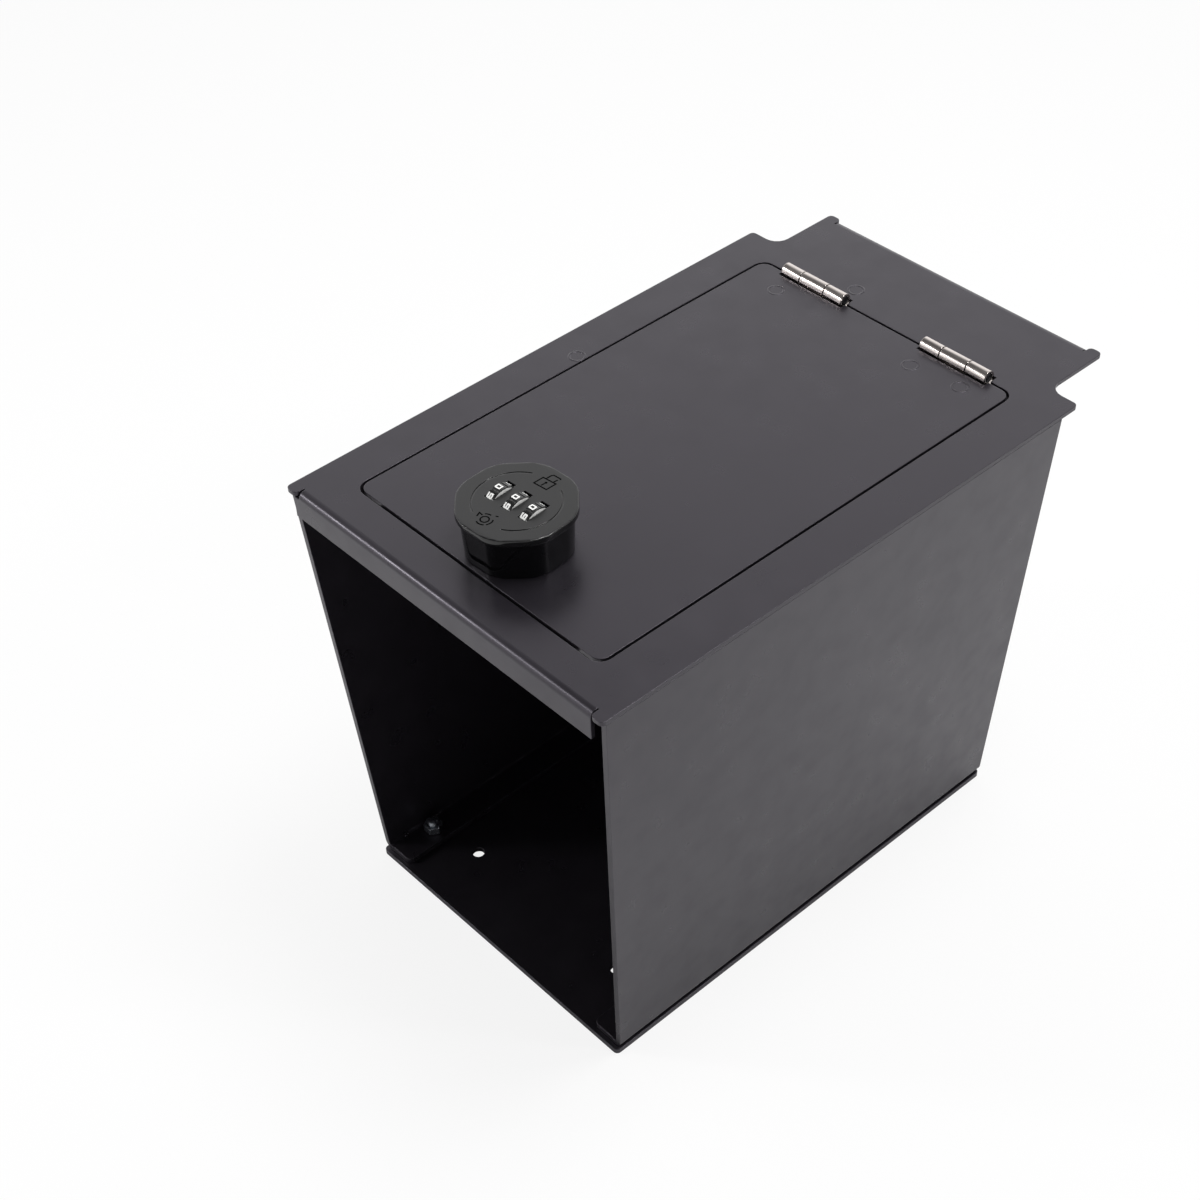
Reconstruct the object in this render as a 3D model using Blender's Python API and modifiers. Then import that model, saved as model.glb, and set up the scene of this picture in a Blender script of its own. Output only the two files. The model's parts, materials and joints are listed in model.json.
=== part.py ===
"""Console lock box: a folded and welded steel insert with a hinged lid and a three-dial knob lock.

Metres, +Z up, the open front towards -Y. The model stands on its bottom plate, with the world origin
under the middle of its outline. The pieces are laid out from the front lip: the empty box_origin puts
y = 0 on that lip's face, x = 0 on the frame's middle line and z = 0 under the bottom plate.
"""

import math

import bmesh
import bpy
from mathutils import Matrix, Vector

# Top frame
BOX_HEIGHT = 0.220
TOP_SHEET = 0.0020
FRAME_WIDTH = 0.190
TAB_WIDTH = 0.1586
TAB_DEPTH = 0.0354
TAB_FILLET = 0.0070
PLATE_CORNER = 0.0022
EAR_REACH = 0.0009
EAR_WIDTH = 0.0064
EAR_CORNER = 0.0022
RELIEF_WIDTH = 0.0008
RELIEF_DEPTH = 0.0005
LIP_HEIGHT = 0.0135
REAR_LIP_HEIGHT = 0.0085
LIP_FLARE = 0.0033
BEND_RADIUS = 0.0013

# Lid and the opening that it closes
FRONT_STRIP = 0.0187
REAR_STRIP = 0.0132
OPENING_WIDTH = 0.1472
OPENING_DEPTH = 0.2361
OPENING_CORNER = 0.0060
LID_SHIFT = -0.0014
LID_SIDE_GAP = 0.0013
LID_FRONT_GAP = 0.0015
REST_WIDTH = 0.0100
REST_LENGTH = 0.118
REST_SHEET = 0.0015
REST_REACH = 0.0038

# Walls, which lean inwards, and the bottom plate
WALL_SHEET = 0.0027
WALL_FOOT_WIDTH = 0.1628
WALL_BEND_RADIUS = 0.0014
WALL_TOP_SETBACK = 0.0012
WALL_FOOT_SETBACK = 0.0130
WALL_TOP_INSET = 0.0100
WALL_FOOT_INSET = 0.0188
FLANGE_WIDTH = 0.0174
FLANGE_CORNER = 0.0030
BACK_INSET = 0.0010
BOTTOM_SHEET = 0.0027
BOTTOM_WIDTH = 0.1626
BOTTOM_SETBACK = 0.0107
BOTTOM_INSET = 0.0181
FLOOR_HOLE_RADIUS = 0.0029
FLOOR_HOLE_INSET = 0.0305
FLOOR_HOLE_SPACING = 0.096

# Studs and nuts that hold the walls down
STUD_RADIUS = 0.0025
STUD_INSET = 0.0230
STUD_LINE = 0.0095
STUD_PROUD = 0.0019
STUD_HEAD_RADIUS = 0.0039
STUD_HEAD_HEIGHT = 0.0010
NUT_FLATS = 0.0080
NUT_HEIGHT = 0.0040
NUT_CHAMFER = 0.0006

# Hinges
HINGE_SPACING = 0.0824
HINGE_LENGTH = 0.0360
HINGE_RISE = 0.0012
BARREL_RADIUS = 0.0033
LEAF_SHEET = 0.0010
LEAF_WIDTH = 0.0175
MIDDLE_KNUCKLE = 0.0146
KNUCKLE_GAP = 0.0006
LEAF_JOIN = math.radians(50)
JOGGLE_START = 0.0010
JOGGLE_RUN = 0.0016
BARREL_ROOM = 0.0006
BARREL_END_ROOM = 0.0011

# Lock: housing in the lid
LOCK_SETBACK = 0.0439
LOCK_TWIST = math.radians(3.2)
SHANK_RADIUS = 0.0093
SHANK_FLATS = 0.0165
SHANK_LENGTH = 0.0120
HOUSING_FLANGE_RADIUS = 0.0150
HOUSING_FLANGE = 0.0012
LOCK_WASHER_RADIUS = 0.0130
LOCK_WASHER_SHEET = 0.0010
WASHER_TEETH = 12
WASHER_TOOTH = 0.0013
LOCK_NUT_FLATS = 0.0240
LOCK_NUT_HEIGHT = 0.0040

# Lock: knob, dials and cam, which turn together
KNOB_HEIGHT = 0.0209
CAP_FLATS = 0.0482
CAP_HEIGHT = 0.0031
CAP_CORNER = 0.0060
CAP_CHAMFER = 0.0006
CAP_SKIN = 0.0008
SKIRT_TOP_FLATS = 0.0448
SKIRT_FOOT_FLATS = 0.0430
SKIRT_CORNER = 0.0045
SPINDLE_RADIUS = 0.0050
SPINDLE_HEAD_RADIUS = 0.0145
SPINDLE_HEAD = 0.0013
SPINDLE_SQUARE = 0.0069
DIAL_PITCH = 0.00935
DIAL_COUNT = 3
DIAL_RADIUS = 0.0083
DIAL_PROUD = 0.0019
DIAL_DIGITS = 10
DIAL_NOTCH = 0.0004
WINDOW_WIDTH = 0.0046
WINDOW_LENGTH = 0.0130
AXLE_RADIUS = 0.0018
AXLE_LENGTH = 0.0330
GROOVE_RADIUS = 0.0178
GROOVE_WIDTH = 0.0006
GROOVE_DEPTH = 0.0003
GROOVE_SWEEP = math.radians(128)
KNOB_SCREW_RADIUS = 0.0010
KNOB_SCREW_HEAD_RADIUS = 0.0018
KNOB_SCREW_LENGTH = 0.0075
KNOB_SCREW_INSET = 0.0090
CAM_SHEET = 0.0020
CAM_WIDTH = 0.0150
CAM_REACH = 0.0305
CAM_HUB_RADIUS = 0.0090
CAM_NOSE_LENGTH = 0.0125
CAM_RAMP = 0.0060
CAM_PLAY = 0.0008
CAM_BEND = 0.0010
CAM_WASHER_RADIUS = 0.0065
CAM_WASHER_SHEET = 0.0012
CAM_SCREW_RADIUS = 0.0020
CAM_SCREW_LENGTH = 0.0090
CAM_SCREW_HEAD_RADIUS = 0.0042
CAM_SCREW_HEAD = 0.0026
CAM_SCREW_SLOT = 0.0010

# Clearances, edges and facets
SEAT_GAP = 0.0003
HOLE_ROOM = 0.0003
EDGE_SOFTNESS = 0.00035
SMALL_EDGE = 0.00015
OVERRUN = 0.0010
WELD = 0.000001
ARC_STEPS = 5
BEND_STEPS = 5
ROUND_STEPS = 28
FINE_STEPS = 16

# Heights and places that follow from the sizes above
OPENING_REAR = FRONT_STRIP + OPENING_DEPTH
FRAME_DEPTH = OPENING_REAR + REAR_STRIP
BOTTOM_DEPTH = FRAME_DEPTH - BOTTOM_SETBACK - BOTTOM_INSET
FRONT_FACE = -(2 * EAR_REACH + FRAME_DEPTH + TAB_DEPTH) / 2 + EAR_REACH
PLATE_UNDER = BOX_HEIGHT - TOP_SHEET
FLANGE_LEVEL = BOTTOM_SHEET + SEAT_GAP
NUT_LEVEL = FLANGE_LEVEL + WALL_SHEET + SEAT_GAP
LID_WIDTH = OPENING_WIDTH - 2 * LID_SIDE_GAP
LID_FRONT = FRONT_STRIP + LID_FRONT_GAP
LID_REAR = OPENING_REAR - LID_SIDE_GAP
PIVOT_Y = OPENING_REAR
PIVOT_Z = BOX_HEIGHT + HINGE_RISE
REST_LEVEL = PLATE_UNDER - SEAT_GAP - REST_SHEET
CAP_LEVEL = KNOB_HEIGHT - CAP_HEIGHT
AXLE_LEVEL = KNOB_HEIGHT + DIAL_PROUD - DIAL_RADIUS
SPINDLE_HEAD_LEVEL = 2 * SEAT_GAP + HOUSING_FLANGE
SHANK_END = -TOP_SHEET - SHANK_LENGTH
CAM_LEVEL = SHANK_END - SEAT_GAP - CAM_SHEET
DIAL_WIDTH = WINDOW_WIDTH - 2 * HOLE_ROOM

COLOURS = {
    "powder_coated_steel": ((0.050, 0.049, 0.053), 0.38, 0.0),
    "nickel_plated_steel": ((0.78, 0.75, 0.72), 0.18, 1.0),
    "zinc_plated_steel": ((0.56, 0.57, 0.58), 0.32, 1.0),
    "black_knob_zinc": ((0.030, 0.030, 0.031), 0.30, 0.0),
    "dial_plastic": ((0.012, 0.012, 0.013), 0.25, 0.0),
    "brass": ((0.70, 0.52, 0.25), 0.28, 1.0),
}


def clear_scene():
    for old in list(bpy.data.objects):
        bpy.data.objects.remove(old)


def new_collection(name):
    collection = bpy.data.collections.new(name)
    bpy.context.scene.collection.children.link(collection)
    return collection


def finish(name):
    """The material of this name, made the first time that it is asked for."""
    found = bpy.data.materials.get(name)
    if found:
        return found
    colour, roughness, metallic = COLOURS[name]
    made = bpy.data.materials.new(name)
    made.use_nodes = True
    shader = made.node_tree.nodes["Principled BSDF"]
    shader.inputs["Base Color"].default_value = (*colour, 1)
    shader.inputs["Roughness"].default_value = roughness
    shader.inputs["Metallic"].default_value = metallic
    made.diffuse_color = (*colour, 1)
    return made


def empty(name, parent, location, turn=0):
    """A point that other pieces hang from, turned about Z."""
    made = bpy.data.objects.new(name, None)
    parts.objects.link(made)
    made.parent = parent
    made.location = location
    made.rotation_euler.z = turn
    return made


def add_piece(name, mesh, parent, material, location=(0, 0, 0)):
    mesh.name = name
    mesh.materials.clear()
    mesh.materials.append(finish(material))
    mesh.shade_smooth()
    mesh.set_sharp_from_angle(angle=math.radians(30))
    piece = bpy.data.objects.new(name, mesh)
    parts.objects.link(piece)
    piece.parent = parent
    piece.location = location
    return piece


def add_tool(mesh, piece, location=(0, 0, 0)):
    """A helper for a Boolean, in the frame that the piece is in."""
    tool = bpy.data.objects.new("tool_for_" + piece.name, mesh)
    cutters.objects.link(tool)
    tool.parent = piece
    tool.location = location
    tool.hide_render = True
    tool.display_type = "WIRE"
    return tool


def combine(piece, mesh, operation, location=(0, 0, 0)):
    modifier = piece.modifiers.new(operation.lower(), "BOOLEAN")
    modifier.operation = operation
    modifier.solver = "EXACT"
    modifier.object = add_tool(mesh, piece, location)


def soften(piece, width, segments=1):
    """Breaks the sharp edges, as a coating or a tumbled casting does."""
    modifier = piece.modifiers.new("edges", "BEVEL")
    modifier.width = width
    modifier.segments = segments
    modifier.limit_method = "ANGLE"
    modifier.angle_limit = math.radians(40)


def rounded_loop(corners, steps=ARC_STEPS):
    """Points of a closed outline. Each corner is (x, y, radius), and a radius of zero stays sharp."""
    loop = []
    for index, (x, y, radius) in enumerate(corners):
        corner = Vector((x, y))
        if not radius:
            loop.append(corner)
            continue
        back = (Vector(corners[index - 1][:2]) - corner).normalized()
        ahead = (Vector(corners[(index + 1) % len(corners)][:2]) - corner).normalized()
        half = back.angle(ahead) / 2
        centre = corner + (back + ahead).normalized() * (radius / math.sin(half))
        start = corner + back * (radius / math.tan(half)) - centre
        end = corner + ahead * (radius / math.tan(half)) - centre
        first = math.atan2(start.y, start.x)
        sweep = (math.atan2(end.y, end.x) - first + math.pi) % (2 * math.pi) - math.pi
        for step in range(steps + 1):
            angle = first + sweep * step / steps
            loop.append(centre + radius * Vector((math.cos(angle), math.sin(angle))))
    return loop


def circle_loop(radius, centre=(0, 0), steps=ROUND_STEPS):
    turns = [2 * math.pi * step / steps for step in range(steps)]
    return [Vector(centre) + radius * Vector((math.cos(turn), math.sin(turn))) for turn in turns]


def box_loop(x0, x1, y0, y1, radius=0):
    return rounded_loop([(x0, y0, radius), (x1, y0, radius), (x1, y1, radius), (x0, y1, radius)])


def mirrored(corners):
    """An outline's left half after its right half, so that it closes round the middle line."""
    return corners + [(-x, y, radius) for x, y, radius in reversed(corners)]


def flat_sheet(loops, thickness):
    """A plate from z = 0 up to its thickness. The first loop is its outline, and the others are holes."""
    curve = bpy.data.curves.new("outline", "CURVE")
    curve.dimensions = "2D"
    curve.fill_mode = "BOTH"
    curve.extrude = thickness / 2
    for loop in loops:
        spline = curve.splines.new("POLY")
        spline.points.add(len(loop) - 1)
        spline.use_cyclic_u = True
        for point, (x, y) in zip(spline.points, loop):
            point.co = (x, y, 0, 1)
    holder = bpy.data.objects.new("outline", curve)
    bpy.context.scene.collection.objects.link(holder)
    bpy.context.view_layer.update()
    graph = bpy.context.evaluated_depsgraph_get()
    mesh = bpy.data.meshes.new_from_object(holder.evaluated_get(graph))
    bpy.data.objects.remove(holder)
    bpy.data.curves.remove(curve)
    solid = bmesh.new()
    solid.from_mesh(mesh)
    bmesh.ops.remove_doubles(solid, verts=solid.verts, dist=WELD)
    bmesh.ops.translate(solid, verts=solid.verts, vec=(0, 0, thickness / 2))
    bmesh.ops.recalc_face_normals(solid, faces=solid.faces)
    solid.to_mesh(mesh)
    solid.free()
    return mesh


def along_y(mesh, start, length):
    """Stands a sheet drawn in (x, z) so that its thickness runs from start along +Y."""
    mesh.transform(Matrix.Translation((0, start + length, 0)) @ Matrix.Rotation(math.radians(90), 4, "X"))
    return mesh


def along_x(mesh, start):
    """Turns a sheet drawn in (y, z) so that its thickness runs from start along +X."""
    cycle = Matrix(((0, 0, 1, 0), (1, 0, 0, 0), (0, 1, 0, 0), (0, 0, 0, 1)))
    mesh.transform(Matrix.Translation((start, 0, 0)) @ cycle)
    return mesh


def lifted(mesh, height):
    mesh.transform(Matrix.Translation((0, 0, height)))
    return mesh


def turned(mesh, angle):
    mesh.transform(Matrix.Rotation(angle, 4, "Z"))
    return mesh


def revolve(name, profile, parent, material, location=(0, 0, 0), steps=ROUND_STEPS):
    """A turned piece about Z. Its profile, (radius, z), runs down its outer side, top to bottom."""
    mesh = bpy.data.meshes.new(name)
    line = bmesh.new()
    points = [line.verts.new((radius, 0, z)) for radius, z in profile]
    closed = profile[0][0] > 0
    pairs = list(zip(points, points[1:])) + ([(points[-1], points[0])] if closed else [])
    for start, end in pairs:
        line.edges.new((start, end))
    line.to_mesh(mesh)
    line.free()
    piece = add_piece(name, mesh, parent, material, location)
    spin = piece.modifiers.new("turning", "SCREW")
    spin.steps = steps
    spin.render_steps = steps
    spin.use_merge_vertices = True
    spin.merge_threshold = WELD
    spin.use_smooth_shade = True
    return piece


def prism(sides, flats, height, top_flats=None, corner=0, segments=3):
    """An upright prism from z = 0, its flats square to X and Y, that may taper and have rounded corners."""
    to_corner = 2 * math.cos(math.pi / sides)
    solid = bmesh.new()
    bmesh.ops.create_cone(
        solid,
        cap_ends=True,
        segments=sides,
        radius1=flats / to_corner,
        radius2=(top_flats or flats) / to_corner,
        depth=height,
    )
    bmesh.ops.rotate(solid, verts=solid.verts, matrix=Matrix.Rotation(math.pi / sides, 3, "Z"))
    bmesh.ops.translate(solid, verts=solid.verts, vec=(0, 0, height / 2))
    if corner:
        upright = [edge for edge in solid.edges if edge.verts[0].co.z != edge.verts[1].co.z]
        bmesh.ops.bevel(
            solid, geom=upright, offset=corner, segments=segments, affect="EDGES", profile=0.5
        )
    mesh = bpy.data.meshes.new("prism")
    solid.to_mesh(mesh)
    solid.free()
    return mesh


# Sheet metal


def fold_lip(solid, edge_y, inward, height):
    """Bends the plate down along its straight edge at edge_y. Inward is the side that the plate is on."""
    outer = BEND_RADIUS + TOP_SHEET

    def faces_the_lip(face):
        centre = face.calc_center_median()
        upright = abs(face.normal.y) > abs(face.normal.z)
        return upright and abs(centre.y - edge_y) < WELD and abs(centre.x) < WELD

    face = next(face for face in solid.faces if faces_the_lip(face))
    bent = bmesh.ops.spin(
        solid,
        geom=[face, *face.edges, *face.verts],
        cent=(0, edge_y, BOX_HEIGHT - outer),
        axis=(inward, 0, 0),
        angle=math.radians(90),
        steps=BEND_STEPS,
        use_duplicate=False,
    )
    last = [item for item in bent["geom_last"] if isinstance(item, bmesh.types.BMFace)]
    run = bmesh.ops.extrude_face_region(solid, geom=last)
    ends = [item for item in run["geom"] if isinstance(item, bmesh.types.BMVert)]
    bmesh.ops.translate(solid, verts=ends, vec=(0, 0, outer - height))
    bmesh.ops.delete(solid, geom=[face for face in last if face.is_valid], context="FACES")


def flare_lip(solid, bend_foot):
    """Widens the front lip at its left end, below the bend, up to the left wall."""
    solid.normal_update()
    ends = []
    for face in solid.faces:
        middle = face.calc_center_median()
        faces_left = -face.normal.x > abs(face.normal.y) + abs(face.normal.z)
        if faces_left and 0 < middle.y < TOP_SHEET and middle.z < bend_foot:
            ends.append(face)
    grown = bmesh.ops.extrude_face_region(solid, geom=ends)
    moved = [item for item in grown["geom"] if isinstance(item, bmesh.types.BMVert)]
    bmesh.ops.translate(solid, verts=moved, vec=(-LIP_FLARE, 0, 0))
    bmesh.ops.delete(solid, geom=[face for face in ends if face.is_valid], context="FACES")


def hinge_notch(side, edge, reach):
    """The corners of a cut-out for a hinge barrel in a plate's edge, from left to right."""
    centre = LID_SHIFT + side * HINGE_SPACING / 2
    half = HINGE_LENGTH / 2 + BARREL_END_ROOM
    return [
        (centre - half, edge, 0),
        (centre - half, reach, 0),
        (centre + half, reach, 0),
        (centre + half, edge, 0),
    ]


def add_top_frame(origin):
    """The frame plate: a lip bent down between two ears at the front and at the rear tab, and the opening."""
    outer = BEND_RADIUS + TOP_SHEET
    half = FRAME_WIDTH / 2
    ear = half - EAR_WIDTH
    lip = ear - RELIEF_WIDTH
    tab = TAB_WIDTH / 2
    tab_ear = tab - EAR_WIDTH
    tab_lip = tab_ear - RELIEF_WIDTH
    tab_end = FRAME_DEPTH + TAB_DEPTH
    outline = mirrored(
        [
            (lip, outer, 0),
            (lip, outer + RELIEF_DEPTH, 0),
            (ear, outer + RELIEF_DEPTH, 0),
            (ear, -EAR_REACH, EAR_CORNER),
            (half, -EAR_REACH, PLATE_CORNER),
            (half, FRAME_DEPTH, PLATE_CORNER),
            (tab, FRAME_DEPTH, TAB_FILLET),
            (tab, tab_end + EAR_REACH, PLATE_CORNER),
            (tab_ear, tab_end + EAR_REACH, EAR_CORNER),
            (tab_ear, tab_end - outer - RELIEF_DEPTH, 0),
            (tab_lip, tab_end - outer - RELIEF_DEPTH, 0),
            (tab_lip, tab_end - outer, 0),
        ]
    )
    left = LID_SHIFT - OPENING_WIDTH / 2
    right = LID_SHIFT + OPENING_WIDTH / 2
    reach = PIVOT_Y + BARREL_RADIUS + BARREL_ROOM
    opening = [
        (right, FRONT_STRIP, OPENING_CORNER),
        (left, FRONT_STRIP, OPENING_CORNER),
        (left, OPENING_REAR, OPENING_CORNER),
        *hinge_notch(-1, OPENING_REAR, reach),
        *hinge_notch(1, OPENING_REAR, reach),
        (right, OPENING_REAR, OPENING_CORNER),
    ]
    mesh = lifted(flat_sheet([rounded_loop(outline), rounded_loop(opening)], TOP_SHEET), PLATE_UNDER)
    solid = bmesh.new()
    solid.from_mesh(mesh)
    fold_lip(solid, outer, 1, LIP_HEIGHT)
    fold_lip(solid, tab_end - outer, -1, REAR_LIP_HEIGHT)
    flare_lip(solid, BOX_HEIGHT - outer)
    bmesh.ops.recalc_face_normals(solid, faces=solid.faces)
    solid.to_mesh(mesh)
    solid.free()
    soften(add_piece("top_frame", mesh, origin, "powder_coated_steel"), EDGE_SOFTNESS)


def wall_front(z):
    """How far behind the front lip the walls' front edge is at this height."""
    return WALL_FOOT_SETBACK + (WALL_TOP_SETBACK - WALL_FOOT_SETBACK) * z / BOX_HEIGHT


def wall_rear(z):
    """How far behind the front lip the walls' rear edge is at this height."""
    foot = FRAME_DEPTH - WALL_FOOT_INSET
    top = FRAME_DEPTH - WALL_TOP_INSET
    return foot + (top - foot) * z / BOX_HEIGHT


def wall_half_width(z):
    """Half the distance between the walls' outer faces at this height."""
    foot = WALL_FOOT_WIDTH / 2
    return foot + (FRAME_WIDTH / 2 - foot) * (z - FLANGE_LEVEL) / (BOX_HEIGHT - FLANGE_LEVEL)


def wall_lean():
    return math.atan2((FRAME_WIDTH - WALL_FOOT_WIDTH) / 2, BOX_HEIGHT - FLANGE_LEVEL)


def wall_bore(x, y):
    return flat_sheet([circle_loop(STUD_RADIUS + HOLE_ROOM, (x, y), FINE_STEPS)], NUT_LEVEL + OVERRUN)


def add_wall(name, side, origin):
    """A side wall: one sheet that leans inwards and is bent in at its foot to a flange."""
    top = PLATE_UNDER - SEAT_GAP
    across = WALL_SHEET / math.cos(wall_lean())
    flange = wall_half_width(FLANGE_LEVEL) - FLANGE_WIDTH
    upper = FLANGE_LEVEL + WALL_SHEET
    outline = [
        (side * wall_half_width(top), top, 0),
        (side * wall_half_width(FLANGE_LEVEL), FLANGE_LEVEL, WALL_BEND_RADIUS + WALL_SHEET),
        (side * flange, FLANGE_LEVEL, 0),
        (side * flange, upper, 0),
        (side * (wall_half_width(upper) - across), upper, WALL_BEND_RADIUS),
        (side * (wall_half_width(top) - across), top, 0),
    ]
    length = wall_rear(BOX_HEIGHT) + OVERRUN
    wall = add_piece(
        name,
        along_y(flat_sheet([rounded_loop(outline)], length), 0, length),
        origin,
        "powder_coated_steel",
    )
    profile = [
        Vector((wall_front(0), 0)),
        Vector((wall_rear(0), 0)),
        Vector((wall_rear(BOX_HEIGHT), BOX_HEIGHT)),
        Vector((wall_front(BOX_HEIGHT), BOX_HEIGHT)),
    ]
    span = FRAME_WIDTH + 2 * OVERRUN
    combine(wall, along_x(flat_sheet([profile], span), -span / 2), "INTERSECT")
    foot = side * (wall_half_width(upper) - 2 * across)
    plan = rounded_loop(
        [
            (side * flange, WALL_FOOT_SETBACK, FLANGE_CORNER),
            (foot, WALL_FOOT_SETBACK, 0),
            (foot, -OVERRUN, 0),
            (side * span / 2, -OVERRUN, 0),
            (side * span / 2, length + OVERRUN, 0),
            (foot, length + OVERRUN, 0),
            (foot, wall_rear(0), 0),
            (side * flange, wall_rear(0), FLANGE_CORNER),
        ]
    )
    combine(wall, flat_sheet([plan], BOX_HEIGHT), "INTERSECT")
    for y in stud_rows():
        combine(wall, wall_bore(side * stud_line(), y), "DIFFERENCE")
    soften(wall, EDGE_SOFTNESS)


def stud_line():
    """How far the studs are from the middle line."""
    return BOTTOM_WIDTH / 2 - STUD_LINE


def stud_rows():
    front = BOTTOM_SETBACK + STUD_INSET
    rear = BOTTOM_SETBACK + BOTTOM_DEPTH - STUD_INSET
    return front, rear


def add_back_wall(origin):
    """The sheet between the walls at the rear, notched over their flanges and under the hinge leaves."""
    top = PLATE_UNDER - SEAT_GAP
    clear = WALL_SHEET / math.cos(wall_lean()) + SEAT_GAP
    flange = wall_half_width(FLANGE_LEVEL) - FLANGE_WIDTH - SEAT_GAP
    slope = math.atan2(wall_rear(BOX_HEIGHT) - wall_rear(0), BOX_HEIGHT)
    leaf_under = PIVOT_Z - BARREL_RADIUS - joggle_drop() - SEAT_GAP
    bend_top = NUT_LEVEL + WALL_BEND_RADIUS
    notches = []
    for side in (1, -1):
        centre = LID_SHIFT + side * HINGE_SPACING / 2
        half = HINGE_LENGTH / 2 + BARREL_END_ROOM
        notches += [
            (centre + half, top, 0),
            (centre + half, leaf_under, 0),
            (centre - half, leaf_under, 0),
            (centre - half, top, 0),
        ]
    outline = [
        (-flange, FLANGE_LEVEL, 0),
        (flange, FLANGE_LEVEL, 0),
        (flange, NUT_LEVEL, 0),
        (wall_half_width(bend_top) - clear - WALL_BEND_RADIUS, NUT_LEVEL, 0),
        (wall_half_width(bend_top) - clear, bend_top, 0),
        (wall_half_width(top) - clear, top, 0),
        *notches,
        (clear - wall_half_width(top), top, 0),
        (clear - wall_half_width(bend_top), bend_top, 0),
        (clear + WALL_BEND_RADIUS - wall_half_width(bend_top), NUT_LEVEL, 0),
        (-flange, NUT_LEVEL, 0),
    ]
    thickness = WALL_SHEET / math.cos(slope)
    mesh = along_y(flat_sheet([rounded_loop(outline)], thickness), 0, thickness)
    shear = Matrix.Identity(4)
    shear[1][2] = math.tan(slope)
    shear[1][3] = wall_rear(0) - BACK_INSET - thickness
    mesh.transform(shear)
    soften(add_piece("back_wall", mesh, origin, "powder_coated_steel"), EDGE_SOFTNESS)


def add_bottom_plate(origin):
    """The floor: a flat plate with stud bores, counterbored from below, and four fixing holes."""
    half = BOTTOM_WIDTH / 2
    rear = BOTTOM_SETBACK + BOTTOM_DEPTH
    loops = [box_loop(-half, half, BOTTOM_SETBACK, rear, PLATE_CORNER)]
    for side in (-1, 1):
        for y in (BOTTOM_SETBACK + FLOOR_HOLE_INSET, rear - FLOOR_HOLE_INSET):
            loops.append(circle_loop(FLOOR_HOLE_RADIUS, (side * FLOOR_HOLE_SPACING / 2, y), FINE_STEPS))
    plate = add_piece("bottom_plate", flat_sheet(loops, BOTTOM_SHEET), origin, "powder_coated_steel")
    wide = STUD_HEAD_RADIUS + HOLE_ROOM
    narrow = STUD_RADIUS + HOLE_ROOM
    pocket = STUD_HEAD_HEIGHT + HOLE_ROOM
    top = BOTTOM_SHEET + OVERRUN
    bore = [(0, -OVERRUN), (wide, -OVERRUN), (wide, pocket), (narrow, pocket), (narrow, top), (0, top)]
    for side in (-1, 1):
        for y in stud_rows():
            combine(plate, spun_mesh(bore, FINE_STEPS), "DIFFERENCE", (side * stud_line(), y, 0))
    soften(plate, EDGE_SOFTNESS)


def add_flange_fasteners(origin):
    """Studs pressed flush into the floor, and the nuts on the flanges."""
    level = NUT_LEVEL + NUT_HEIGHT + STUD_PROUD
    profile = [
        (0, level),
        (STUD_RADIUS - NUT_CHAMFER, level),
        (STUD_RADIUS, level - NUT_CHAMFER),
        (STUD_RADIUS, STUD_HEAD_HEIGHT),
        (STUD_HEAD_RADIUS, STUD_HEAD_HEIGHT),
        (STUD_HEAD_RADIUS, 0),
        (0, 0),
    ]
    for side, hand in ((-1, "left"), (1, "right")):
        for y, row in zip(stud_rows(), ("front", "rear")):
            place = (side * stud_line(), y, 0)
            revolve(f"flange_stud_{row}_{hand}", profile, origin, "zinc_plated_steel", place, FINE_STEPS)
            nut = hex_nut(f"flange_nut_{row}_{hand}", NUT_FLATS, NUT_HEIGHT, STUD_RADIUS, origin)
            nut.location = (side * stud_line(), y, NUT_LEVEL)


def hex_nut(name, flats, height, thread_radius, parent):
    """A hexagon nut with its corners turned off on both faces."""
    nut = add_piece(name, prism(6, flats, height), parent, "zinc_plated_steel")
    corner = flats / 2 / math.cos(math.radians(30))
    drop = (corner - flats / 2) * math.tan(math.radians(30))
    loop = [
        (0, 0),
        (flats / 2, 0),
        (corner, drop),
        (corner, height - drop),
        (flats / 2, height),
        (0, height),
    ]
    combine(nut, spun_mesh(loop, FINE_STEPS), "INTERSECT")
    thread = circle_loop(thread_radius + HOLE_ROOM, steps=FINE_STEPS)
    combine(nut, lifted(flat_sheet([thread], height + 2 * OVERRUN), -OVERRUN), "DIFFERENCE")
    return nut


def spun_mesh(loop, steps=ROUND_STEPS):
    """A closed turned mesh, from (radius, z) points that start and end on the axis."""
    solid = bmesh.new()
    points = [solid.verts.new((radius, 0, z)) for radius, z in loop]
    edges = [solid.edges.new(pair) for pair in zip(points, points[1:])]
    bmesh.ops.spin(
        solid,
        geom=points + edges,
        cent=(0, 0, 0),
        axis=(0, 0, 1),
        angle=math.radians(360),
        steps=steps,
        use_merge=True,
    )
    bmesh.ops.remove_doubles(solid, verts=solid.verts, dist=WELD)
    bmesh.ops.recalc_face_normals(solid, faces=solid.faces)
    mesh = bpy.data.meshes.new("turned")
    solid.to_mesh(mesh)
    solid.free()
    return mesh


def add_lid_rest(origin):
    """The strip under the front of the frame that the lid's front edge lies on."""
    half = REST_LENGTH / 2
    rear = FRONT_STRIP + REST_REACH
    loop = box_loop(LID_SHIFT - half, LID_SHIFT + half, rear - REST_WIDTH, rear, PLATE_CORNER)
    mesh = lifted(flat_sheet([loop], REST_SHEET), REST_LEVEL)
    soften(add_piece("lid_rest_strip", mesh, origin, "powder_coated_steel"), EDGE_SOFTNESS)


# Lid and hinges. The lid's pieces hang from an empty on the hinge axis.


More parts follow.
